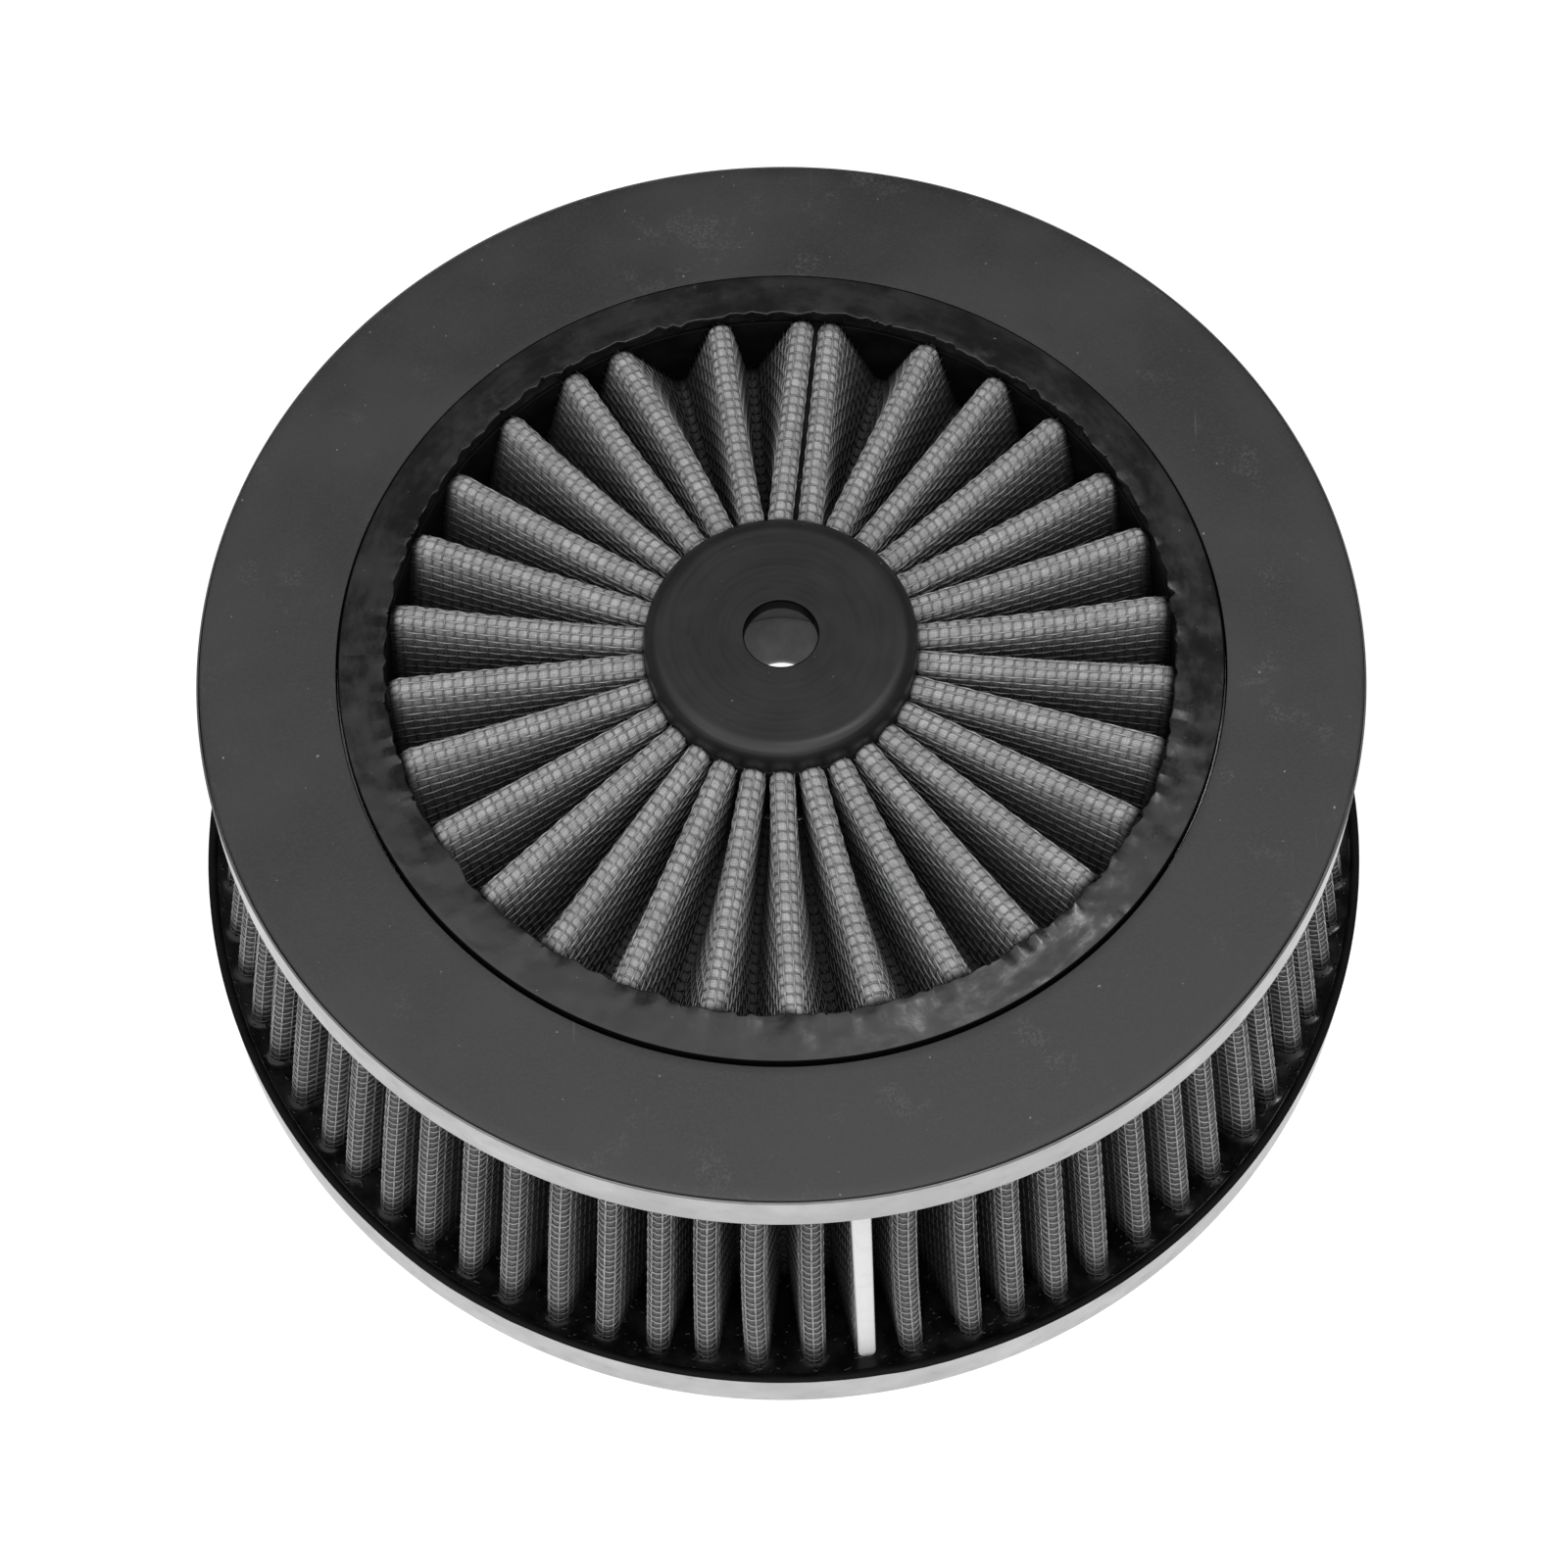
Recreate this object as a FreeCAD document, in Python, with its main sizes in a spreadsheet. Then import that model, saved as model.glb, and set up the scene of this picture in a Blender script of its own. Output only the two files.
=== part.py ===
import FreeCAD, Part
import math
import os
import Sketcher

# Round conical air filter element for a V-twin motorcycle, in millimetres.
# The axis is +Z and z = 0 is the face that seals on the air box or backing plate.
# Two pleated packs clean the air: a side pack round the wall, and a radial pack in the top face.
# Both are a sandwich of wire cloth, two plies of cotton gauze and wire cloth again.
# Aluminium end caps, cast polyurethane potting and rubber seals hold them together.

doc = FreeCAD.newDocument("air_filter")

# ---------------------------------------------------------------- driving dimensions

SIZES = (
    ("face_height", 65.0, "sealing face to the top face of the ring"),
    ("top_radius", 80.0, "outside of the top cap"),
    ("top_wall_height", 7.9, "bright wall of the top cap"),
    ("bottom_radius", 85.3, "outside of the bottom cap"),
    ("bottom_wall_height", 8.3, "bright wall of the bottom cap"),
    ("metal", 1.0, "wall of the aluminium caps"),
    ("lip_drop", 0.3, "metal lip below the ring that it frames"),
    ("lip_round", 0.35, "rounding of the outer lips"),
    ("cap_web_radius", 58.0, "bore of the top cap's web"),
    ("face_ring_thickness", 1.6, "rubber ring on the top cap"),
    ("face_ring_gap", 0.25, "groove between that ring and its neighbours"),
    ("rim_step_radius", 60.6, "outer step of the raised rim"),
    ("rim_bore_radius", 54.3, "inner edge of the raised rim"),
    ("rim_raise", 0.9, "rim above the face ring at its step"),
    ("rim_crown", 1.6, "rim above the face ring near its inner edge"),
    ("rim_edge_round", 0.8, "break of the rim's inner edge"),
    ("wall_foot_height", 48.5, "bottom of the potted wall round the radial pack"),
    ("hub_radius", 18.7, "outside of the hub"),
    ("hub_top_height", 70.9, "top of the hub"),
    ("hub_cap_foot", 66.0, "joint between hub cap and hub core"),
    ("hub_cap_top", 2.4, "thickness of the hub cap's top"),
    ("hub_round", 3.4, "rounded shoulder of the hub cap"),
    ("hub_hole_round", 0.4, "break of the bolt hole"),
    ("hub_cavity_radius", 12.0, "hollow between the two hub discs"),
    ("bolt_hole_radius", 5.05, "clearance for a 3/8 inch bolt"),
    ("base_top_height", 53.4, "top of the lower hub disc"),
    ("base_step_height", 51.0, "bottom of the hub core"),
    ("base_foot_height", 49.5, "bottom of the lower hub disc"),
    ("base_flange_radius", 16.0, "flange under the hub core"),
    ("base_recess_radius", 9.5, "recess under the lower hub disc"),
    ("base_recess_height", 52.6, "underside of the thin disc above that recess"),
    ("bottom_bore_radius", 61.5, "outlet bore of the bottom cap"),
    ("bottom_web_height", 1.5, "underside of the bottom cap's web"),
    ("bottom_bore_height", 9.0, "top of the outlet bore's wall"),
    ("bottom_potting_height", 8.0, "surface of the bottom potting"),
    ("top_potting_height", 57.5, "lower surface of the top potting"),
    ("pack_foot_height", 4.0, "lower ends of the side pleats, inside the potting"),
    ("pack_head_height", 61.4, "upper ends of the side pleats, inside the potting"),
    ("side_pleats", 70, "pleats in the side pack, one of them the seam"),
    ("side_seam_angle", -82.65, "side seam, degrees from +X"),
    ("side_tip_foot", 83.7, "pleat tips at the foot"),
    ("side_tip_head", 74.4, "pleat tips at the head"),
    ("side_root_foot", 68.2, "pleat roots at the foot"),
    ("side_root_head", 58.9, "pleat roots at the head"),
    ("fold_radius", 1.15, "mid-line radius of every fold"),
    ("sandwich", 1.2, "thickness of the four layers together"),
    ("screen", 0.24, "thickness of a wire cloth"),
    ("ply_gap", 0.02, "clearance between layers"),
    ("seam_half_gap", 0.62, "seam plane to the mid-line of either end"),
    ("clip_wall", 0.2, "side walls of the seam clip"),
    ("clip_face", 0.7, "outer face of the seam clip"),
    ("clip_depth", 3.2, "radial depth of the seam clip"),
    ("clip_clearance", 0.1, "seam clip to the cut ends that it covers"),
    ("radial_ridges", 30, "ridges in the radial pack"),
    ("radial_seam_angle", 84.0, "radial seam, degrees from +X"),
    ("seam_ridge_offset", 2.06, "seam plane to the ridge on either side"),
    ("seam_valley_angle", 10.1, "seam plane to the first valley, degrees"),
    ("seam_next_angle", 16.6, "seam plane to the first regular ridge, degrees"),
    ("radial_start", 18.78, "inner ends of the radial pleats"),
    ("radial_end", 54.22, "outer ends of the radial pleats"),
    ("ridge_height_start", 67.2, "ridge tops at the hub"),
    ("ridge_height_end", 65.7, "ridge tops at the rim"),
    ("valley_height", 50.4, "undersides of the valleys"),
    ("bead_drop", 1.9, "seam bead below the ridge tops"),
)

sheet = doc.addObject("Spreadsheet::Sheet", "Sizes")
for row, (alias, value, meaning) in enumerate(SIZES, start=1):
    sheet.set("A%d" % row, alias)
    sheet.set("B%d" % row, str(value))
    sheet.set("C%d" % row, meaning)
    sheet.setAlias("B%d" % row, alias)
doc.recompute()


def size(alias):
    """Return one driving dimension from the sheet."""
    return float(sheet.get(alias))


# ---------------------------------------------------------------- revolved pieces

def origin_plane(body, role):
    """Return one of a body's own origin planes."""
    for feature in body.Origin.OriginFeatures:
        if feature.Role == role:
            return feature
    raise ValueError("no plane " + role)


def bound_vertex(sketch, index, radius, level):
    """Hold the start of line `index` at a radius and a height, each an expression of the sheet."""
    for kind, tag, formula in (("DistanceX", "radius", radius), ("DistanceY", "level", level)):
        if formula == "0":
            sketch.addConstraint(Sketcher.Constraint("PointOnObject", index, 1, -1))
            continue
        name = "%s_%d" % (tag, index)
        now = sketch_value(sketch, index, tag)
        number = sketch.addConstraint(Sketcher.Constraint(kind, -1, 1, index, 1, now))
        sketch.renameConstraint(number, name)
        sketch.setExpression("Constraints." + name, formula)


def sketch_value(sketch, index, tag):
    """Return where line `index` starts now, as a first value for its constraint."""
    start = sketch.Geometry[index].StartPoint
    return start.x if tag == "radius" else start.y


def formula_value(formula):
    """Work out an expression of the sheet as a number."""
    return float(sheet.evalExpression(formula.replace("Sizes.", "")))


def revolved(label, profile):
    """Revolve a closed profile about +Z. Each corner is a pair of formulas: radius and height."""
    body = doc.addObject("PartDesign::Body", label)
    sketch = body.newObject("Sketcher::SketchObject", label + "_profile")
    sketch.AttachmentSupport = [(origin_plane(body, "XZ_Plane"), "")]
    sketch.MapMode = "FlatFace"
    corners = [FreeCAD.Vector(formula_value(radius), formula_value(level), 0) for radius, level in profile]
    count = len(corners)
    for index in range(count):
        sketch.addGeometry(Part.LineSegment(corners[index], corners[(index + 1) % count]), False)
    for index in range(count):
        sketch.addConstraint(Sketcher.Constraint("Coincident", index, 2, (index + 1) % count, 1))
    for index, (radius, level) in enumerate(profile):
        bound_vertex(sketch, index, radius, level)
    turned = body.newObject("PartDesign::Revolution", label + "_turned")
    turned.Profile = sketch
    turned.ReferenceAxis = (sketch, ["V_Axis"])
    turned.Angle = 360
    doc.recompute()
    return body


def round_edges(body, circles, alias):
    """Fillet the body's circular edges at the given (radius, height) pairs."""
    tip = body.Tip
    names = []
    for number, edge in enumerate(tip.Shape.Edges, start=1):
        if not isinstance(edge.Curve, Part.Circle):
            continue
        for radius, level in circles:
            near = abs(edge.Curve.Radius - radius) < 0.01 and abs(edge.Curve.Center.z - level) < 0.01
            if near:
                names.append("Edge%d" % number)
    feature = body.newObject("PartDesign::Fillet", "%s_%s" % (body.Name, alias))
    feature.Base = (tip, names)
    feature.setExpression("Radius", "Sizes." + alias)
    doc.recompute()
    return body


def make_top_cap():
    """Aluminium ring: outer wall with a lip that frames the rubber ring, and a flat web."""
    under_ring = "Sizes.face_height - Sizes.face_ring_thickness"
    inside = "Sizes.top_radius - Sizes.metal"
    wall_foot = "Sizes.face_height - Sizes.top_wall_height"
    lip = "Sizes.face_height - Sizes.lip_drop"
    body = revolved("top_cap", (
        ("Sizes.top_radius", wall_foot),
        ("Sizes.top_radius", lip),
        (inside, lip),
        (inside, under_ring),
        ("Sizes.cap_web_radius", under_ring),
        ("Sizes.cap_web_radius", under_ring + " - Sizes.metal"),
        (inside, under_ring + " - Sizes.metal"),
        (inside, wall_foot),
    ))
    return round_edges(body, [(size("top_radius"), size("face_height") - size("lip_drop"))], "lip_round")


def make_top_face_ring():
    """Flat rubber ring, set into the top cap."""
    bore = "Sizes.rim_step_radius + Sizes.face_ring_gap"
    outside = "Sizes.top_radius - Sizes.metal - Sizes.face_ring_gap"
    underside = "Sizes.face_height - Sizes.face_ring_thickness"
    body = revolved("top_face_ring", (
        (bore, underside),
        (outside, underside),
        (outside, "Sizes.face_height"),
        (bore, "Sizes.face_height"),
    ))
    outer_edge = size("top_radius") - size("metal") - size("face_ring_gap")
    return round_edges(body, [(outer_edge, size("face_height"))], "lip_round")


def make_inner_rim():
    """Cast rim that ties the radial pack to the top cap and rises towards its inner edge."""
    body = revolved("inner_rim", (
        ("Sizes.rim_step_radius", "Sizes.face_height - Sizes.face_ring_thickness"),
        ("Sizes.rim_step_radius", "Sizes.face_height + Sizes.rim_raise"),
        ("Sizes.rim_bore_radius + Sizes.rim_edge_round", "Sizes.face_height + Sizes.rim_crown"),
        ("Sizes.rim_bore_radius", "Sizes.face_height + Sizes.rim_crown - Sizes.rim_edge_round / 2"),
        ("Sizes.rim_bore_radius", "Sizes.face_height - Sizes.face_ring_thickness"),
    ))
    step_height = size("face_height") + size("rim_raise")
    return round_edges(body, [(size("rim_step_radius"), step_height)], "lip_round")


def make_radial_wall():
    """Potted wall that holds the outer ends of the radial pleats, below the rim."""
    return revolved("radial_pack_wall", (
        ("Sizes.cap_web_radius", "Sizes.wall_foot_height"),
        ("Sizes.cap_web_radius", "Sizes.face_height - Sizes.face_ring_thickness"),
        ("Sizes.rim_bore_radius", "Sizes.face_height - Sizes.face_ring_thickness"),
        ("Sizes.rim_bore_radius", "Sizes.wall_foot_height"),
    ))


def make_hub_cap():
    """Rounded cap with the bolt hole, hollow underneath."""
    body = revolved("hub_cap", (
        ("Sizes.bolt_hole_radius", "Sizes.hub_top_height"),
        ("Sizes.hub_radius", "Sizes.hub_top_height"),
        ("Sizes.hub_radius", "Sizes.hub_cap_foot"),
        ("Sizes.hub_cavity_radius", "Sizes.hub_cap_foot"),
        ("Sizes.hub_cavity_radius", "Sizes.hub_top_height - Sizes.hub_cap_top"),
        ("Sizes.bolt_hole_radius", "Sizes.hub_top_height - Sizes.hub_cap_top"),
    ))
    round_edges(body, [(size("hub_radius"), size("hub_top_height"))], "hub_round")
    return round_edges(body, [(size("bolt_hole_radius"), size("hub_top_height"))], "hub_hole_round")


def make_hub_core():
    """Thick sleeve that the inner ends of the radial pleats are bonded to."""
    return revolved("hub_core", (
        ("Sizes.hub_cavity_radius", "Sizes.base_step_height"),
        ("Sizes.hub_radius", "Sizes.base_step_height"),
        ("Sizes.hub_radius", "Sizes.hub_cap_foot"),
        ("Sizes.hub_cavity_radius", "Sizes.hub_cap_foot"),
    ))


def make_hub_base():
    """Lower disc of the hub: thin round the second bolt hole, with a thick flange under the core."""
    body = revolved("hub_base", (
        ("Sizes.bolt_hole_radius", "Sizes.base_recess_height"),
        ("Sizes.base_recess_radius", "Sizes.base_recess_height"),
        ("Sizes.base_recess_radius", "Sizes.base_foot_height"),
        ("Sizes.base_flange_radius", "Sizes.base_foot_height"),
        ("Sizes.base_flange_radius", "Sizes.base_step_height"),
        ("Sizes.hub_cavity_radius", "Sizes.base_step_height"),
        ("Sizes.hub_cavity_radius", "Sizes.base_top_height"),
        ("Sizes.bolt_hole_radius", "Sizes.base_top_height"),
    ))
    return round_edges(body, [(size("base_flange_radius"), size("base_foot_height"))], "hub_hole_round")


def make_bottom_cap():
    """Aluminium channel ring: outer wall, web and the wall of the outlet bore."""
    bore_inside = "Sizes.bottom_bore_radius + Sizes.metal"
    wall_inside = "Sizes.bottom_radius - Sizes.metal"
    body = revolved("bottom_cap", (
        ("Sizes.bottom_radius", "0"),
        ("Sizes.bottom_radius", "Sizes.bottom_wall_height"),
        (wall_inside, "Sizes.bottom_wall_height"),
        (wall_inside, "Sizes.bottom_web_height + Sizes.metal"),
        (bore_inside, "Sizes.bottom_web_height + Sizes.metal"),
        (bore_inside, "Sizes.bottom_bore_height"),
        ("Sizes.bottom_bore_radius", "Sizes.bottom_bore_height"),
        ("Sizes.bottom_bore_radius", "Sizes.bottom_web_height"),
        (wall_inside, "Sizes.bottom_web_height"),
        (wall_inside, "0"),
    ))
    return round_edges(body, [(size("bottom_radius"), size("bottom_wall_height"))], "lip_round")


def make_bottom_gasket():
    """Rubber seal set into the underside of the bottom cap, flush with its wall."""
    inside = "Sizes.bottom_bore_radius"
    outside = "Sizes.bottom_radius - Sizes.metal - Sizes.face_ring_gap"
    return revolved("bottom_gasket", (
        (inside, "0"),
        (outside, "0"),
        (outside, "Sizes.bottom_web_height"),
        (inside, "Sizes.bottom_web_height"),
    ))


# ---------------------------------------------------------------- pleated layers

def radial(angle, radius, level=0.0):
    """Return the point at an angle (radians), radius and height."""
    return FreeCAD.Vector(radius * math.cos(angle), radius * math.sin(angle), level)


def to_right(heading):
    """Return the unit vector to the right of a heading in the XY plane."""
    return FreeCAD.Vector(math.sin(heading), -math.cos(heading), 0)


def heading_between(start, end, reach):
    """Heading of the leg from one fold centre to the next that passes `reach` to the right of them."""
    gap = end - start
    return math.atan2(gap.y, gap.x) + math.asin(reach / math.hypot(gap.x, gap.y))


def fold_path(centres, radii, turns, offset):
    """Edges of a folded sheet seen along its pleats, `offset` to the right of its mid-line.

    A turn of +1 is a fold to the left, -1 a fold to the right and 0 a free end of the sheet.
    """
    count = len(centres)
    headings = []
    for index in range(count - 1):
        reach = turns[index] * radii[index] - turns[index + 1] * radii[index + 1]
        headings.append(heading_between(centres[index], centres[index + 1], reach))
    edges = []
    last = centres[0] + to_right(headings[0]) * offset
    for index in range(1, count):
        arrive = to_right(headings[index - 1])
        grown = radii[index] + turns[index] * offset
        if turns[index] == 0:
            edges.append((last, centres[index] + arrive * offset))
            continue
        turned = turns[index] * ((headings[index] - headings[index - 1]) * turns[index] % (2 * math.pi))
        halfway = to_right(headings[index - 1] + turned / 2)
        leave = to_right(headings[index])
        start = centres[index] + arrive * turns[index] * grown
        middle = centres[index] + halfway * turns[index] * grown
        end = centres[index] + leave * turns[index] * grown
        edges.append((last, start))
        edges.append((start, middle, end))
        last = end
    return edges


def as_edge(points):
    """Make a line from two points or an arc from three."""
    if len(points) == 2:
        return Part.makeLine(*points)
    return Part.Arc(*points).toShape()


def reversed_points(edges):
    """Run a list of edges backwards."""
    return [tuple(reversed(points)) for points in reversed(edges)]


def closed_outline(outside, inside):
    """Join the two sides of a sheet into one closed run of edges."""
    back = reversed_points(inside)
    return outside + [(outside[-1][-1], back[0][0])] + back + [(back[-1][-1], outside[0][0])]


def side_fold_centres(level):
    """Centres of the side pack's folds at a height, from one end of the sheet to the other."""
    part = (level - size("pack_foot_height")) / (size("pack_head_height") - size("pack_foot_height"))
    reach = size("fold_radius") + size("sandwich") / 2
    tip = size("side_tip_foot") + part * (size("side_tip_head") - size("side_tip_foot")) - reach
    root = size("side_root_foot") + part * (size("side_root_head") - size("side_root_foot")) + reach
    seam = math.radians(size("side_seam_angle"))
    pleats = int(size("side_pleats"))
    pitch = 2 * math.pi / pleats
    sideways = radial(seam + math.pi / 2, size("seam_half_gap"))
    centres = [radial(seam, tip) + sideways]
    turns = [0]
    for index in range(pleats):
        centres.append(radial(seam + (index + 0.5) * pitch, root))
        turns.append(-1)
        if index < pleats - 1:
            centres.append(radial(seam + (index + 1) * pitch, tip))
            turns.append(1)
    centres.append(radial(seam, tip) - sideways)
    turns.append(0)
    radii = [size("fold_radius") if turn else 0.0 for turn in turns]
    return centres, radii, turns


def side_layer_shape(inner_offset, outer_offset, foot, head):
    """Solid of one layer of the side pack between two heights."""
    outlines = []
    for level in (foot, head):
        centres, radii, turns = side_fold_centres(level)
        outside = fold_path(centres, radii, turns, outer_offset)
        inside = fold_path(centres, radii, turns, inner_offset)
        lift = FreeCAD.Vector(0, 0, level)
        outline = closed_outline(outside, inside)
        outlines.append([as_edge([point + lift for point in points]) for points in outline])
    faces = [Part.makeRuledSurface(low, high) for low, high in zip(*outlines)]
    for edges in outlines:
        faces.append(Part.Face(Part.Wire(edges)))
    return closed_solid(faces)


def closed_solid(faces):
    """Sew faces into one closed solid with outward normals."""
    shell = Part.Shell(faces)
    shell.sewShape()
    solid = Part.Solid(shell)
    if solid.Volume < 0:
        solid.reverse()
    return solid


def layer_offsets():
    """Offsets of the four layers from the sandwich's mid-line, from the dirty side to the clean side."""
    half = size("sandwich") / 2
    cloth = half - size("screen")
    gap = size("ply_gap")
    return (
        ("screen_dirty", cloth, half),
        ("gauze_dirty", gap / 2, cloth - gap),
        ("gauze_clean", gap - cloth, -gap / 2),
        ("screen_clean", -half, -cloth),
    )


def plain_feature(label, shape):
    """Add a shape as a feature of the document."""
    feature = doc.addObject("Part::Feature", label)
    feature.Shape = shape
    return feature


SIDE_LAYERS = {
    "screen_dirty": "side_outer_screen",
    "gauze_dirty": "side_outer_gauze",
    "gauze_clean": "side_inner_gauze",
    "screen_clean": "side_inner_screen",
}
RADIAL_LAYERS = {
    "screen_dirty": "radial_upper_screen",
    "gauze_dirty": "radial_upper_gauze",
    "gauze_clean": "radial_lower_gauze",
    "screen_clean": "radial_lower_screen",
}


def make_side_pack():
    """The four layers of the side pack."""
    made = []
    for layer, low, high in layer_offsets():
        shape = side_layer_shape(low, high, size("pack_foot_height"), size("pack_head_height"))
        made.append(plain_feature(SIDE_LAYERS[layer], shape))
    return made


def seam_end(level):
    """Radius of the side pack's free ends at a height, and how far they splay per unit of depth."""
    centres, radii, turns = side_fold_centres(level)
    seam = math.radians(size("side_seam_angle"))
    end = centres[0].dot(radial(seam, 1.0))
    inward = heading_between(centres[0], centres[1], -turns[1] * radii[1])
    return end, abs(math.tan(inward - seam))


def make_seam_clip():
    """Plastic U-section that clamps the two free ends of the side pack, leaning with the pleats."""
    seam = math.radians(size("side_seam_angle"))
    half_inside = size("seam_half_gap") + size("sandwich") / 2 + size("ply_gap")
    half_outside = half_inside + size("clip_wall")
    outlines = []
    for level in (size("bottom_potting_height"), size("top_potting_height")):
        end, splay = seam_end(level)
        face_inside = end + size("clip_clearance")
        face_outside = face_inside + size("clip_face")
        foot = face_outside - size("clip_depth")
        flare = splay * (face_inside - foot)
        corners = (
            (foot, -half_outside - flare), (face_inside, -half_outside), (face_outside, -half_outside),
            (face_outside, half_outside), (face_inside, half_outside), (foot, half_outside + flare),
            (foot, half_inside + flare), (face_inside, half_inside),
            (face_inside, -half_inside), (foot, -half_inside - flare),
        )
        points = [radial(seam, out, level) + radial(seam + math.pi / 2, along) for out, along in corners]
        outlines.append(Part.makePolygon(points + points[:1]))
    return plain_feature("side_seam_clip", Part.makeLoft(outlines, True, True))


def make_potting(label, foot, head, bore, outside, slot_foot, slot_head):
    """Cast ring of potting with the ends of the side pack standing in it."""
    parts = []
    for name, radius in ((label + "_disc", outside), (label + "_bore", bore)):
        cylinder = doc.addObject("Part::Cylinder", name)
        cylinder.setExpression("Radius", radius)
        cylinder.setExpression("Height", "(%s) - (%s)" % (head, foot))
        cylinder.setExpression("Placement.Base.z", foot)
        parts.append(cylinder)
    ring = doc.addObject("Part::Cut", label + "_ring")
    ring.Base, ring.Tool = parts
    half = size("sandwich") / 2
    slots = plain_feature(label + "_slots", side_layer_shape(-half, half, slot_foot, slot_head))
    potting = doc.addObject("Part::Cut", label)
    potting.Base = ring
    potting.Tool = slots
    doc.recompute()
    return potting


def radial_folds():
    """Folds of the radial pack from one free end to the other.

    Each fold is (angle of its plane, sideways offset in that plane, turn), where a turn of +1 is a ridge,
    -1 a valley and 0 a free end.
    """
    seam = math.radians(size("radial_seam_angle"))
    next_ridge = math.radians(size("seam_next_angle"))
    regular = int(size("radial_ridges")) - 2
    pitch = (2 * math.pi - 2 * next_ridge) / (regular - 1)
    beside = size("seam_ridge_offset")
    end_offset = beside - size("fold_radius")
    folds = [(seam, end_offset, 0), (seam, beside, 1)]
    folds.append((seam + math.radians(size("seam_valley_angle")), 0.0, -1))
    for index in range(regular):
        angle = seam + next_ridge + index * pitch
        folds.append((angle, 0.0, 1))
        if index < regular - 1:
            folds.append((angle + pitch / 2, 0.0, -1))
    far_seam = seam + 2 * math.pi
    folds.append((far_seam - math.radians(size("seam_valley_angle")), 0.0, -1))
    folds += [(far_seam, -beside, 1), (far_seam, -end_offset, 0)]
    return folds


def radial_section(radius, ridge_top, offset):
    """Edges of the radial pack's folded sheet at one radius, on planes square to each fold."""
    fold = size("fold_radius")
    reach = fold + size("sandwich") / 2
    high = ridge_top - reach
    low = size("valley_height") + reach
    folds = radial_folds()
    flat = []
    for angle, sideways, turn in folds:
        level = high if turn == 1 else low
        flat.append(FreeCAD.Vector(-(radius * angle + sideways), level, 0))
    turns = [turn for _, _, turn in folds]
    radii = [fold if turn else 0.0 for turn in turns]
    path = fold_path(flat, radii, turns, offset)
    return [wrap(points, number, folds, radius) for number, points in enumerate(path)]


def wrap(points, number, folds, radius):
    """Carry one edge of the flat section onto the planes of the folds that it joins."""
    before = (number + 1) // 2
    ends = (before, before) if len(points) == 3 else (before, before + 1)
    placed = []
    for position, point in enumerate(points):
        angle = folds[ends[0] if position < len(points) - 1 else ends[1]][0]
        along = -point.x - radius * angle
        placed.append(radial(angle, radius, point.y) + radial(angle + math.pi / 2, along))
    return tuple(placed)


def radial_layer_shape(low, high):
    """Solid of one layer of the radial pack: skins above and below, and the two cut ends."""
    ends = []
    for radius, top in (("radial_start", "ridge_height_start"), ("radial_end", "ridge_height_end")):
        upper = radial_section(size(radius), size(top), high)
        lower = radial_section(size(radius), size(top), low)
        ends.append((closed_outline(upper, lower), upper, lower))
    faces = []
    for near, far in zip(ends[0][0], ends[1][0]):
        faces.append(Part.makeRuledSurface(as_edge(near), as_edge(far)))
    for _, upper, lower in ends:
        for above, below in zip(upper, lower):
            faces.append(Part.makeRuledSurface(as_edge(above), as_edge(below)))
    return closed_solid(faces)


def make_radial_pack():
    """The four layers of the radial pack."""
    made = []
    for layer, low, high in layer_offsets():
        made.append(plain_feature(RADIAL_LAYERS[layer], radial_layer_shape(low, high)))
    return made


def make_radial_bead():
    """Thin strip of adhesive between the two free ends of the radial pack."""
    half = size("seam_ridge_offset") - size("fold_radius") - size("sandwich") / 2 - size("ply_gap")
    seam = math.radians(size("radial_seam_angle"))
    corners = []
    for radius, top in (("radial_start", "ridge_height_start"), ("radial_end", "ridge_height_end")):
        for level in (size("valley_height") + size("fold_radius"), size(top) - size("bead_drop")):
            corners.append((size(radius), level))
    low_in, high_in, low_out, high_out = corners
    points = [radial(seam, out, level) for out, level in (low_in, low_out, high_out, high_in)]
    sideways = radial(seam + math.pi / 2, half)
    face = Part.Face(Part.makePolygon([point - sideways for point in points + points[:1]]))
    return plain_feature("radial_seam_bead", face.extrude(sideways * 2))


# ---------------------------------------------------------------- build and write

def build():
    """Make every piece and return them."""
    pieces = [
        make_top_cap(),
        make_top_face_ring(),
        make_inner_rim(),
        make_radial_wall(),
        make_hub_cap(),
        make_hub_core(),
        make_hub_base(),
        make_bottom_cap(),
        make_bottom_gasket(),
        make_seam_clip(),
        make_radial_bead(),
    ]
    pieces += make_side_pack()
    pieces += make_radial_pack()
    pieces.append(make_potting(
        "bottom_potting",
        "Sizes.bottom_web_height + Sizes.metal", "Sizes.bottom_potting_height",
        "Sizes.bottom_bore_radius + Sizes.metal", "Sizes.bottom_radius - Sizes.metal",
        size("pack_foot_height"), size("bottom_potting_height") + size("metal"),
    ))
    pieces.append(make_potting(
        "top_potting",
        "Sizes.top_potting_height", "Sizes.face_height - Sizes.face_ring_thickness - Sizes.metal",
        "Sizes.cap_web_radius", "Sizes.top_radius - Sizes.metal",
        size("top_potting_height") - size("metal"), size("pack_head_height"),
    ))
    return pieces


def check(pieces):
    """Stop if any object failed or any piece is not one or more valid closed solids."""
    for item in doc.Objects:
        if "Invalid" in item.State or "Error" in item.State:
            raise RuntimeError("failed object " + item.Label)
    for piece in pieces:
        shape = piece.Shape
        if shape.isNull() or not shape.isValid() or not shape.Solids:
            raise RuntimeError("bad shape " + piece.Label)


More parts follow.
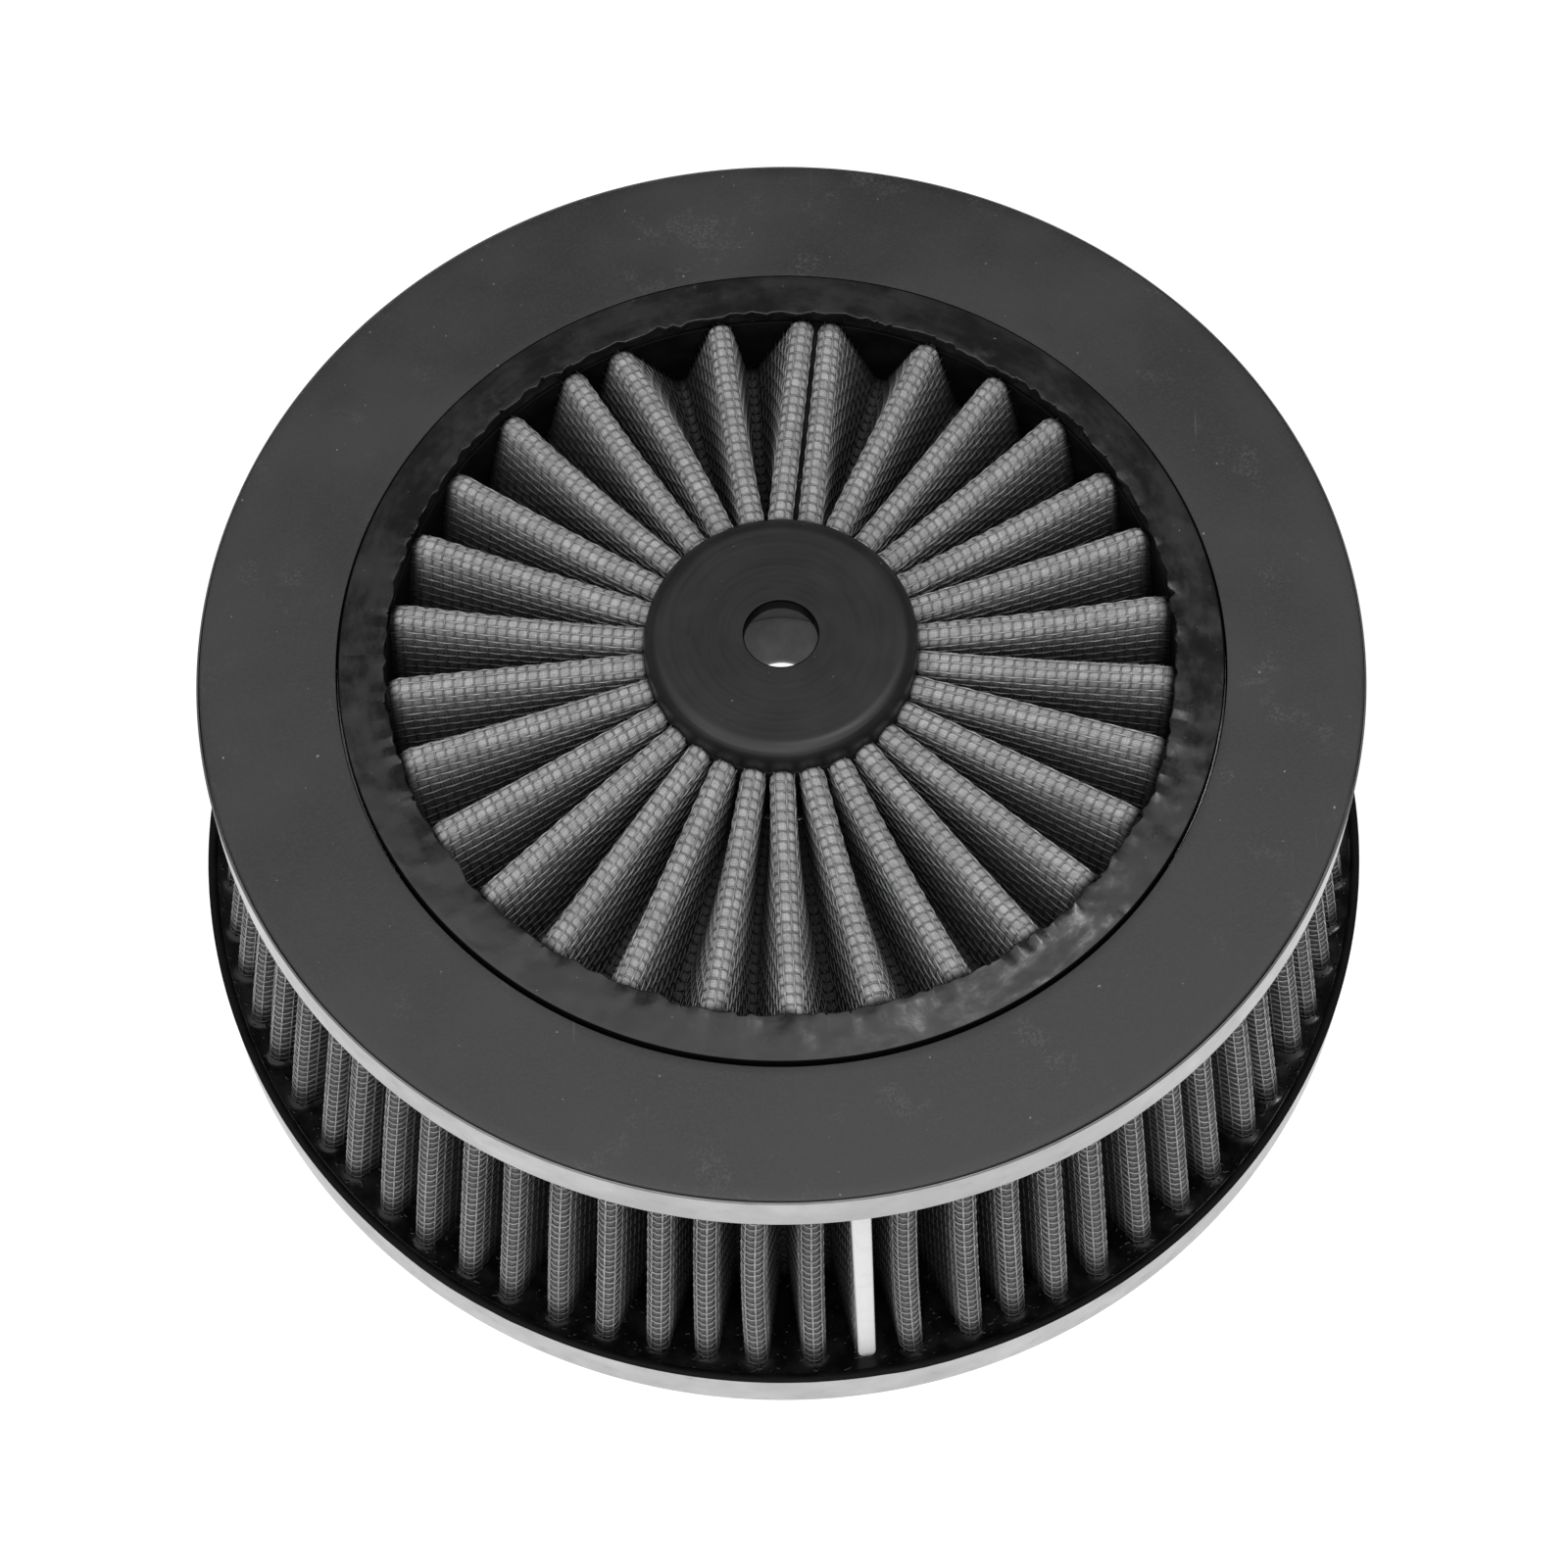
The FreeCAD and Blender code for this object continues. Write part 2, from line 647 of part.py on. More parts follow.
doc.recompute()
PIECES = build()
doc.recompute()
check(PIECES)
os.makedirs("parts", exist_ok=True)
for piece in PIECES:
    piece.Shape.exportStep("parts/%s.step" % piece.Label)
    print("%-22s volume %10.1f mm3, faces %d" % (piece.Label, piece.Shape.Volume, len(piece.Shape.Faces)))
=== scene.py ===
import math
from dataclasses import dataclass

import bpy
import numpy as np
from mathutils import Matrix, Vector
from mathutils.kdtree import KDTree


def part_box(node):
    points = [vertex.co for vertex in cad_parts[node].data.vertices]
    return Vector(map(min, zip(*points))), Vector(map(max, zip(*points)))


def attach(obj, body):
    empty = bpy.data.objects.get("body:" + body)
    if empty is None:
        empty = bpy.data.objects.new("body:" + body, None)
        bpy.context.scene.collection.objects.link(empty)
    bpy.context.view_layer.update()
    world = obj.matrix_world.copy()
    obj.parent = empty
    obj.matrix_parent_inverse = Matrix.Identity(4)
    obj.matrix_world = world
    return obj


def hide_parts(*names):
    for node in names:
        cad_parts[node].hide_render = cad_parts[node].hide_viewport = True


# Looks for a round pleated air filter element. Lengths are in millimetres until a mesh is made.
# The caps, rings, hub and potting are turned profiles: each corner is (radius, height, rounding).
# Each pleated pack is two closed plies of gauze that bulge between the wires of a woven cloth.

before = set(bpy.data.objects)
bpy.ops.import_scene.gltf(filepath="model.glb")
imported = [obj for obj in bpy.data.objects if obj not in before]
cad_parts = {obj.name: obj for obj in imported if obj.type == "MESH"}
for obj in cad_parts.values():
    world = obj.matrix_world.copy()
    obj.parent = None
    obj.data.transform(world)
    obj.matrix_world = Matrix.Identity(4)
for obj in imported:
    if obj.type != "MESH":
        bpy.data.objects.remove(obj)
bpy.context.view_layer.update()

MM = 0.001
TAU = 2 * math.pi


def lowest(node):
    """Lowest corner of a CAD node, in millimetres."""
    return np.array(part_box(node)[0]) / MM


def highest(node):
    """Highest corner of a CAD node, in millimetres."""
    return np.array(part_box(node)[1]) / MM


# ---- sizes, from the frame where it has them

METAL = 1.0
TOP_RADIUS, _, LIP_HEIGHT = highest("top_cap")
TOP_WALL_FOOT = lowest("top_cap")[2]
LIP_METAL = 0.28
FACE_HEIGHT = highest("top_face_ring")[2]
UNDER_RING = lowest("top_face_ring")[2]
RING_GAP = 0.25
STEP_RADIUS, _, RIM_TOP = highest("inner_rim")
STEP_RAISE = 0.9
WEB_RADIUS, _, WALL_HEAD = highest("radial_pack_wall")
WALL_FOOT = lowest("radial_pack_wall")[2]
BOTTOM_RADIUS, _, OUTLET_WALL_HEIGHT = highest("bottom_cap")
BOTTOM_WALL_HEIGHT = 8.3
GASKET_RADIUS, _, BOTTOM_WEB = highest("bottom_gasket")
OUTLET_RADIUS = 61.5
POTTING_LEVEL = highest("bottom_potting")[2]
POTTING_SEGMENTS = 1600
HUB_RADIUS, _, HUB_TOP = highest("hub_cap")
HUB_CAP_FOOT = lowest("hub_cap")[2]
HUB_CAP_WEB = 2.4
HUB_ROUND = 2.2
CORE_RADIUS, _, CORE_HEAD = highest("hub_core")
CORE_FOOT = lowest("hub_core")[2]
BASE_RADIUS, _, BASE_HEAD = highest("hub_base")
BASE_FOOT = lowest("hub_base")[2]
CAVITY_RADIUS = BASE_RADIUS - 4.0
BOLT_RADIUS = 5.05
DISC_THICKNESS = 0.8
RECESS_RADIUS = 9.5

FOLD_RADIUS = 1.15
SANDWICH = 1.2
FOLD_REACH = FOLD_RADIUS + SANDWICH / 2

SIDE_PLEATS = 70
SIDE_SEAM = math.radians(-82.65)
SEAM_HALF_GAP = 0.62
SIDE_TIP_FOOT, _, SIDE_HEAD = highest("side_outer_screen")
SIDE_FOOT = lowest("side_outer_screen")[2]
SIDE_LENGTH = SIDE_HEAD - SIDE_FOOT
SIDE_LEAN = 9.3
SIDE_PLEAT_DEPTH = 15.5
SIDE_DARK_DEPTH = 9.0

CLIP_FOOT = lowest("side_seam_clip")[2]
CLIP_HEAD = highest("side_seam_clip")[2]
CLIP_STAND_OFF = 0.8
CLIP_DEPTH = 1.2
CLIP_EDGE = 0.38
CLIP_SUNK = 0.5
CLIP_HALF_FOOT = 1.25
CLIP_HALF_HEAD = 1.42
CLIP_SKEW_FOOT = 0.40
CLIP_SKEW_HEAD = -0.05

RIDGES = 30
RADIAL_SEAM = math.radians(84.0)
SEAM_RIDGE_OFFSET = 2.06
SEAM_VALLEY = math.radians(10.1)
SEAM_NEXT = math.radians(16.6)
RADIAL_START = CORE_RADIUS + 0.08
RADIAL_END, _, RIDGE_START = highest("radial_upper_screen")
BORE_RADIUS = RADIAL_END + 0.08
RADIAL_LENGTH = RADIAL_END - RADIAL_START
RIDGE_FALL = 1.5
VALLEY = lowest("radial_lower_screen")[2]


# ---- mesh helpers

def quad_mesh(name, points, quads, extra=(), material=None, attributes=None, uv=None):
    """Make an object from points in millimetres, quads, and any polygons with more corners."""
    counts = np.array([4] * len(quads) + [len(polygon) for polygon in extra], dtype=np.int32)
    starts = (np.cumsum(counts) - counts).astype(np.int32)
    loops = np.concatenate([np.ravel(quads), *extra]).astype(np.int32)
    mesh = bpy.data.meshes.new(name)
    mesh.vertices.add(len(points))
    mesh.vertices.foreach_set("co", (np.asarray(points) * MM).astype(np.float32).ravel())
    mesh.loops.add(len(loops))
    mesh.loops.foreach_set("vertex_index", loops)
    mesh.polygons.add(len(starts))
    mesh.polygons.foreach_set("loop_start", starts)
    mesh.polygons.foreach_set("loop_total", counts)
    mesh.polygons.foreach_set("use_smooth", np.ones(len(starts), dtype=bool))
    mesh.update(calc_edges=True)
    for key, values in (attributes or {}).items():
        layer = mesh.attributes.new(key, "FLOAT", "POINT")
        layer.data.foreach_set("value", np.asarray(values, dtype=np.float32).ravel())
    if uv is not None:
        layer = mesh.uv_layers.new(name="cloth")
        layer.data.foreach_set("uv", np.asarray(uv, dtype=np.float32)[loops].ravel())
    mesh.validate(verbose=False)
    made = bpy.data.objects.new(name, mesh)
    bpy.context.scene.collection.objects.link(made)
    if material is not None:
        mesh.materials.append(material)
    return made


def polar(angle, radius):
    """Points in plan from angles and radii."""
    return np.stack([radius * np.cos(angle), radius * np.sin(angle)], -1)


def lifted(plan, height):
    """Points in space at a height, or at heights, above points in plan."""
    return np.concatenate([plan, np.broadcast_to(height, plan.shape[:-1])[..., None]], -1)


def ring_points(angle, radius, height):
    """Points in space from angles, radii and heights."""
    return lifted(polar(angle, radius), height)


def joined(grids):
    """The entries of several grids, one grid after another."""
    return np.concatenate([grid.reshape(-1, *grid.shape[2:]) for grid in grids])


def grid_quads(rows, columns, first=0, wrap_rows=False, wrap_columns=False, flip=False):
    """Quads of a grid of points stored row by row."""
    row = np.arange(rows if wrap_rows else rows - 1)
    column = np.arange(columns if wrap_columns else columns - 1)
    r, c = np.meshgrid(row, column, indexing="ij")
    next_r = (r + 1) % rows
    next_c = (c + 1) % columns
    corners = [r * columns + c, r * columns + next_c, next_r * columns + next_c, next_r * columns + c]
    quads = np.stack(corners, -1).reshape(-1, 4) + first
    return quads[:, ::-1] if flip else quads


def rounded(corners, steps=5):
    """Replace each corner (radius, height, rounding) of a closed profile by an arc."""
    corners = np.array(corners, dtype=float)
    places = corners[:, :2]
    points = []
    for index, here in enumerate(places):
        rounding = corners[index, 2]
        if rounding <= 0:
            points.append(here)
            continue
        before = places[index - 1] - here
        after = places[(index + 1) % len(places)] - here
        before /= np.linalg.norm(before)
        after /= np.linalg.norm(after)
        half = math.acos(max(-1.0, min(1.0, float(before @ after)))) / 2
        centre = here + (before + after) / np.linalg.norm(before + after) * rounding / math.sin(half)
        reach = rounding / math.tan(half)
        start = here + before * reach - centre
        end = here + after * reach - centre
        sweep = math.pi - 2 * half
        for step in range(steps + 1):
            share = step / steps
            weight_start = math.sin((1 - share) * sweep) / math.sin(sweep)
            weight_end = math.sin(share * sweep) / math.sin(sweep)
            points.append(centre + start * weight_start + end * weight_end)
    return np.array(points)


def divided(profile, longest):
    """Add points to the long edges of a closed profile."""
    points = []
    for index, here in enumerate(profile):
        there = profile[(index + 1) % len(profile)]
        parts = max(1, math.ceil(np.linalg.norm(there - here) / longest))
        points += [here + (there - here) * part / parts for part in range(parts)]
    return np.array(points)


def turned_piece(name, corners, material, nodes, segments=512, longest=4.0, shape=None):
    """Make a closed turned piece that stands for CAD nodes. Its profile runs counter-clockwise."""
    profile = divided(rounded(corners), longest)
    angle = (np.arange(segments) / segments * TAU)[:, None]
    radius, height = np.broadcast_to(profile.T[:, None], (2, segments, len(profile)))
    if shape is not None:
        radius, height = shape(angle, radius, height)
    points = ring_points(angle, radius, height)
    quads = grid_quads(segments, len(profile), wrap_rows=True, wrap_columns=True)
    piece = quad_mesh(name, points.reshape(-1, 3), quads, material=material)
    declare(piece, nodes)


def declare(piece, nodes):
    """Attach a piece to the root body and hide the CAD nodes it stands for."""
    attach(piece, "root")
    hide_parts(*nodes)


def eased(share):
    """Smooth step from 0 to 1."""
    return share * share * (3 - 2 * share)


def wander(angle, knots, amount, seed, between=eased):
    """Smooth random values round the circle."""
    values = np.random.default_rng(seed).uniform(-1, 1, knots)
    place = (np.asarray(angle) / TAU % 1.0) * knots
    low = np.floor(place).astype(int)
    share = between(place - low)
    return amount * (values[low % knots] * (1 - share) + values[(low + 1) % knots] * share)


def jagged(angle, knots, amount, seed):
    """Random values round the circle joined by straight lines, as a torn edge is."""
    return wander(angle, knots, amount, seed, between=np.asarray)


# ---- materials

class Shader:
    """A node material under construction. Noise is measured in millimetres on the object."""

    def __init__(self, name, metallic=0.0):
        self.material = bpy.data.materials.new(name)
        self.material.use_nodes = True
        self.tree = self.material.node_tree
        self.surface = self.tree.nodes["Principled BSDF"]
        self.surface.inputs["Metallic"].default_value = metallic
        self.place = self.add("ShaderNodeTexCoord")["Object"]

    def link(self, source, target):
        if isinstance(source, (int, float, tuple)):
            target.default_value = source
        else:
            self.tree.links.new(source, target)

    def add(self, kind, inputs=None, **settings):
        """Add a node, feed its inputs with values or other nodes' outputs, and return its outputs."""
        node = self.tree.nodes.new(kind)
        for key, value in settings.items():
            setattr(node, key, value)
        for key, source in (inputs or {}).items():
            self.link(source, node.inputs[key])
        return node.outputs

    def set(self, inputs):
        for key, source in inputs.items():
            self.link(source, self.surface.inputs[key])

    def finished(self, tone, roughness, normal, gloss=0.5):
        """Set the surface and return the material."""
        self.set({"Base Color": tone, "Roughness": roughness, "Normal": normal, "Specular IOR Level": gloss})
        return self.material

    def stretched(self, scale):
        """Object coordinates stretched by a factor for each axis."""
        return self.add("ShaderNodeMapping", {"Vector": self.place, "Scale": scale})["Vector"]

    def noise(self, size, detail=3.0, rough=0.55, vector=None):
        """Noise with features about `size` millimetres across."""
        fineness = {"Scale": 1.0 / (size * MM), "Detail": detail, "Roughness": rough}
        return self.add("ShaderNodeTexNoise", {"Vector": vector or self.place, **fineness})["Fac"]

    def ramp(self, value, low, high, to_low=0.0, to_high=1.0):
        """Map a value from low..high to to_low..to_high, smoothly and clamped."""
        inputs = {"Value": value, "From Min": low, "From Max": high, "To Min": to_low, "To Max": to_high}
        return self.add("ShaderNodeMapRange", inputs, interpolation_type="SMOOTHSTEP")["Result"]

    def math(self, operation, first, second=0.0):
        return self.add("ShaderNodeMath", {0: first, 1: second}, operation=operation)["Value"]

    def mix(self, share, first, second):
        """Mix two colours."""
        return self.add("ShaderNodeMix", {0: share, 6: first, 7: second}, data_type="RGBA")[2]

    def cloudy(self, mask, dark, light, low=0.35, high=0.7):
        """A tone that goes from one grey to another as a mask rises from low to high."""
        return self.mix(self.ramp(mask, low, high), grey(dark), grey(light))

    def marked(self, tone, mask, low, high, share, level):
        """A tone with up to a share of a grey laid over it as a mask rises from low to high."""
        return self.mix(self.ramp(mask, low, high, 0.0, share), tone, grey(level))

    def bump(self, height, distance, strength=1.0, below=None):
        """Bump of `distance` millimetres, on top of an earlier one."""
        inputs = {"Strength": strength, "Distance": distance * MM, "Height": height}
        if below is not None:
            inputs["Normal"] = below
        return self.add("ShaderNodeBump", inputs)["Normal"]

    def attribute(self, name):
        return self.add("ShaderNodeAttribute", attribute_name=name)["Fac"]

    def shaded_and_soaked(self, tone, shallow, deepest, soaking):
        """Darken a pleated pack's colour with painted shade where it lies deep between the pleats, and where
        potting has soaked it.
        """
        tone = self.marked(tone, self.attribute("deep"), shallow, deepest, 0.90, 0.018)
        return self.marked(tone, self.attribute("soak"), 0.0, 0.85, soaking, 0.012)

    def split(self, vector):
        """The X, Y and Z of a vector."""
        return self.add("ShaderNodeSeparateXYZ", {"Vector": vector})

    def rising(self, distance, start, end, to_low=0.0, to_high=1.0):
        """Ramp over a height or radius whose ends are in millimetres."""
        return self.ramp(distance, start * MM, end * MM, to_low, to_high)

    def height(self):
        """Height on the object, in metres."""
        return self.split(self.place)["Z"]

    def radius(self):
        """Distance from the axis, in metres."""
        return self.split(self.polar(0.0, 1.0, 0.0))["Y"]

    def polar(self, around, across, up):
        """Coordinates that follow the circle: angle, radius and height, each with its own stretch."""
        x, y, z = self.split(self.place)
        square = self.math("ADD", self.math("MULTIPLY", x, x), self.math("MULTIPLY", y, y))
        stretched = {
            "X": self.math("MULTIPLY", self.math("ARCTAN2", y, x), around),
            "Y": self.math("MULTIPLY", self.math("SQRT", square), across),
            "Z": self.math("MULTIPLY", z, up),
        }
        return self.add("ShaderNodeCombineXYZ", stretched)["Vector"]


def grey(level, warmth=0.0):
    """A neutral colour with a slight tint."""
    return (level * (1 + warmth), level, level * (1 - warmth), 1.0)


def bare_aluminium():
    """Rolled aluminium with cut edges: fine lines round the wall, blotches, a few stains, and painted shade
    on the top edge of the lip.
    """
    look = Shader("bare_aluminium", metallic=1.0)
    lines = look.noise(1.0, 2.0, 0.6, look.polar(0.02, 1.0, 12.0))
    blotches = look.noise(14.0, 4.0, 0.6)
    stains = look.noise(3.2, 5.0, 0.65)
    painted_dark_lip = look.rising(look.height(), LIP_HEIGHT - 0.30, LIP_HEIGHT - 0.05, 0.0, 0.8)
    tone = look.cloudy(blotches, 0.44, 0.54)
    tone = look.marked(tone, stains, 0.58, 0.76, share=0.4, level=0.30)
    tone = look.marked(tone, lines, 0.3, 0.75, share=0.25, level=0.38)
    # Painted shade: the top edge of the lip is darkened.
    tone = look.mix(painted_dark_lip, tone, grey(0.10))
    normal = look.bump(lines, 0.02, 0.5)
    normal = look.bump(blotches, 0.25, 0.3, normal)
    return look.finished(tone, look.ramp(stains, 0.3, 0.8, 0.42, 0.58), normal)


def seal_rubber():
    """Matt black moulded rubber: fine grain, dust, a few scratches and painted shade on the edge at the
    bore.
    """
    look = Shader("seal_rubber")
    grain = look.noise(0.35, 3.0, 0.6)
    clouds = look.noise(22.0, 3.0, 0.5)
    specks = look.noise(0.8, 1.0, 0.4)
    scratches = look.noise(1.1, 2.0, 0.7, look.stretched((1.0, 0.05, 1.0)))
    patches = look.ramp(look.noise(9.0, 3.0, 0.6), 0.58, 0.72)
    worn = look.math("MULTIPLY", patches, look.ramp(grain, 0.45, 0.6))
    painted_groove_shade = look.rising(look.radius(), STEP_RADIUS + 0.30, STEP_RADIUS + 0.42, 1.0, 0.0)
    tone = look.cloudy(clouds, 0.014, 0.024)
    tone = look.marked(tone, grain, 0.4, 0.75, share=0.4, level=0.036)
    tone = look.marked(tone, specks, 0.78, 0.84, share=0.6, level=0.30)
    tone = look.marked(tone, scratches, 0.70, 0.78, share=0.35, level=0.10)
    tone = look.mix(look.math("MULTIPLY", worn, 0.25), tone, grey(0.11))
    # Painted shade: the edge of the bore, next to the groove at the rim, is black and without gloss.
    tone = look.mix(painted_groove_shade, tone, grey(0.003))
    gloss = look.ramp(painted_groove_shade, 0.0, 1.0, 0.5, 0.0)
    normal = look.bump(grain, 0.03, 0.6)
    return look.finished(tone, look.ramp(clouds, 0.3, 0.7, 0.44, 0.54), normal, gloss)


def cast_rim():
    """Black cast polyurethane of the raised rim: satin, smeared where it was wiped, with nicks, and painted
    shade on its outer step edge.
    """
    look = Shader("cast_rim")
    smears = look.noise(5.0, 5.0, 0.65, look.polar(0.03, 1.0, 1.0))
    pits = look.noise(0.8, 2.0, 0.5)
    waves = look.noise(5.5, 1.0, 0.4)
    chalk = look.noise(3.4, 3.0, 0.6)
    step = look.rising(look.radius(), STEP_RADIUS - 0.30, STEP_RADIUS - 0.15)
    tone = look.cloudy(smears, 0.006, 0.016)
    tone = look.marked(tone, chalk, 0.60, 0.80, share=0.22, level=0.07)
    tone = look.marked(tone, pits, 0.74, 0.82, share=0.55, level=0.26)
    # Painted shade: the rim's outer step edge, by the groove, is black and without gloss.
    tone = look.mix(step, tone, grey(0.003))
    gloss = look.ramp(step, 0.0, 1.0, 0.36, 0.0)
    normal = look.bump(waves, 0.6, 0.6)
    normal = look.bump(pits, 0.03, 0.4, normal)
    return look.finished(tone, look.ramp(smears, 0.35, 0.65, 0.20, 0.46), normal, gloss)


def glossy_potting():
    """Black polyurethane poured round the pleats: wet gloss with ripples and small bubbles."""
    look = Shader("glossy_potting")
    ripples = look.noise(3.5, 3.0, 0.5)
    bubbles = look.ramp(look.noise(0.9, 1.0, 0.4), 0.62, 0.75)
    tone = look.cloudy(ripples, 0.002, 0.006)
    normal = look.bump(ripples, 0.12, 0.5)
    normal = look.bump(bubbles, 0.10, 0.6, normal)
    return look.finished(tone, look.ramp(ripples, 0.3, 0.75, 0.12, 0.34), normal, gloss=0.20)


def dull_potting():
    """The same polyurethane where it was cast against the mould: dull, with faint flow marks."""
    look = Shader("dull_potting")
    flow = look.noise(4.0, 3.0, 0.55)
    grain = look.noise(0.5, 2.0, 0.5)
    tone = look.cloudy(flow, 0.002, 0.005)
    normal = look.bump(grain, 0.02, 0.4)
    return look.finished(tone, look.ramp(flow, 0.3, 0.75, 0.55, 0.75), normal, gloss=0.12)


def lower_disc():
    """Lower disc of the hub: paler and smoother than the cap, with dust."""
    look = Shader("lower_disc")
    clouds = look.noise(3.0, 4.0, 0.6)
    dust = look.noise(0.6, 2.0, 0.5)
    tone = look.cloudy(clouds, 0.34, 0.46)
    tone = look.marked(tone, dust, 0.62, 0.8, share=0.5, level=0.6)
    normal = look.bump(dust, 0.02, 0.4)
    return look.finished(tone, look.ramp(clouds, 0.3, 0.7, 0.35, 0.5), normal)


def hub_plastic():
    """Satin black hub: turning rings, a little dust, painted light on the hollow wall below the cap and
    painted shade on the wall round the bolt.
    """
    look = Shader("hub_plastic")
    rings = look.noise(0.7, 2.0, 0.6, look.polar(0.001, 1.0, 1.0))
    clouds = look.noise(7.0, 4.0, 0.6)
    specks = look.noise(0.7, 1.0, 0.4)
    radius = look.radius()
    painted_light_inside = look.rising(radius, CAVITY_RADIUS + 0.05, CAVITY_RADIUS + 0.20, 1.0, 0.0)
    web = HUB_TOP - HUB_CAP_WEB
    below = look.rising(look.height(), web - 0.1, web + 0.1, 1.0, 0.0)
    painted_shade_hole = look.rising(radius, BOLT_RADIUS + 0.10, BOLT_RADIUS + 0.22, 1.0, 0.0)
    tone = look.cloudy(clouds, 0.005, 0.010)
    tone = look.marked(tone, specks, 0.78, 0.85, share=0.5, level=0.20)
    # Painted light: the hollow wall below the cap is pale.
    tone = look.mix(look.math("MULTIPLY", painted_light_inside, below), tone, grey(0.40))
    # Painted shade: the wall round the bolt is black and without gloss.
    tone = look.mix(painted_shade_hole, tone, grey(0.001))
    gloss = look.ramp(painted_shade_hole, 0.0, 1.0, 0.38, 0.02)
    normal = look.bump(rings, 0.008, 0.5)
    return look.finished(tone, look.ramp(rings, 0.3, 0.7, 0.36, 0.46), normal, gloss)


def cotton_gauze():
    """Grey cotton gauze: threads of an open weave, patchy with dust, paler on the crown of each pillow
    because painted shade darkens it near the wires; more painted shade over the cloth as each pack sets it,
    and deep between the pleats.
    """
    look = Shader("cotton_gauze")
    along, climb, _ = look.split(look.add("ShaderNodeUVMap", uv_map="cloth")["UV"])
    warp, weft = [
        look.math("SINE", look.math("MULTIPLY", way, TAU / pitch))
        for way, pitch in ((along, 0.34), (climb, 0.38))
    ]
    weave = look.math("MAXIMUM", warp, weft)
    fibres = look.noise(0.25, 4.0, 0.7)
    dust = look.ramp(look.noise(1.5, 2.0, 0.5), 0.38, 0.62, 0.45, 0.0)
    tone = look.cloudy(look.noise(6.0, 3.0, 0.55), 0.29, 0.40, low=0.3)
    tone = look.mix(dust, tone, grey(0.15))
    tone = look.mix(look.ramp(weave, -0.6, 1.0, 0.35, 0.0), tone, grey(0.17))
    tone = look.marked(tone, fibres, 0.35, 0.75, share=0.35, level=0.46)
    # Painted shade: the cloth is darker near the wires, at the edge of each pillow.
    tone = look.mix(look.ramp(look.attribute("crown"), 0.0, 0.40, 0.60, 0.0), tone, grey(0.07))
    # Painted shade over the whole cloth, set for each pack.
    tone = look.mix(look.attribute("grime"), tone, grey(0.08))
    # Painted shade deep between the pleats, and darkening where potting has soaked the ends.
    tone = look.shaded_and_soaked(tone, shallow=0.03, deepest=0.42, soaking=0.92)
    normal = look.bump(weave, 0.05, 0.6)
    normal = look.bump(fibres, 0.05, 0.6, normal)
    return look.finished(tone, 0.95, normal)


def wire_cloth():
    """Thin coated wire, dull grey with worn, brighter spots; painted shade darkens it where its shading
    attribute asks and deep between the pleats, and potting darkens its soaked ends.
    """
    look = Shader("wire_cloth", metallic=0.2)
    wear = look.noise(1.3, 3.0, 0.6)
    tone = look.cloudy(look.noise(9.0, 2.0, 0.5), 0.32, 0.42)
    tone = look.marked(tone, wear, 0.55, 0.75, share=0.7, level=0.62)
    # Painted shade on the wires: darker where they dip under, and on the radial pack's crosswise wires.
    tone = look.mix(look.attribute("grime"), tone, grey(0.10))
    # Painted shade deep between the pleats, and darkening where potting has soaked the ends.
    tone = look.shaded_and_soaked(tone, shallow=0.10, deepest=0.60, soaking=0.85)
    normal = look.bump(wear, 0.02, 0.4)
    return look.finished(tone, look.ramp(wear, 0.3, 0.8, 0.40, 0.26), normal)


def white_clip():
    """White plastic strip with faint marks."""
    look = Shader("white_clip")
    marks = look.noise(2.5, 4.0, 0.6)
    fine = look.noise(0.5, 2.0, 0.6, look.stretched((1.0, 1.0, 0.1)))
    tone = look.mix(look.ramp(marks, 0.45, 0.8, 0.0, 0.5), grey(0.72), grey(0.60, warmth=0.01))
    tone = look.marked(tone, fine, 0.62, 0.8, share=0.3, level=0.50)
    normal = look.bump(fine, 0.02, 0.4)
    return look.finished(tone, 0.42, normal)


def studio_white():
    """White light table, with the faintest mottling."""
    look = Shader("studio_white")
    tone = look.cloudy(look.noise(60.0, 2.0, 0.5), 0.94, 0.96, low=0.3)
    look.set({"Emission Color": tone, "Emission Strength": 1.02, "Base Color": grey(0.18), "Roughness": 0.9})
    return look.material


ALUMINIUM = bare_aluminium()
RUBBER = seal_rubber()
RIM = cast_rim()
POTTING = glossy_potting()
DULL = dull_potting()
HUB = hub_plastic()
HUB_BASE = lower_disc()
GAUZE = cotton_gauze()
WIRE = wire_cloth()
CLIP = white_clip()


# ---- turned pieces

def make_top_cap():
    """Upper end cap: outer wall, lip round the face ring and web under it."""
    inside = TOP_RADIUS - METAL
    lip = TOP_RADIUS - LIP_METAL
    corners = (
        (TOP_RADIUS, TOP_WALL_FOOT, 0.25), (TOP_RADIUS, LIP_HEIGHT, 0.22), (lip, LIP_HEIGHT, 0.04),
        (lip, UNDER_RING, 0.1), (WEB_RADIUS, UNDER_RING, 0.2), (WEB_RADIUS, UNDER_RING - METAL, 0.2),
        (inside, UNDER_RING - METAL, 0.3), (inside, TOP_WALL_FOOT, 0.25),
    )

    def uneven(angle, radius, height):
        return radius + wander(angle, 9, 0.05, 11), height + wander(angle, 7, 0.03, 12)

    turned_piece("top_cap_skin", corners, ALUMINIUM, ["top_cap"], shape=uneven)


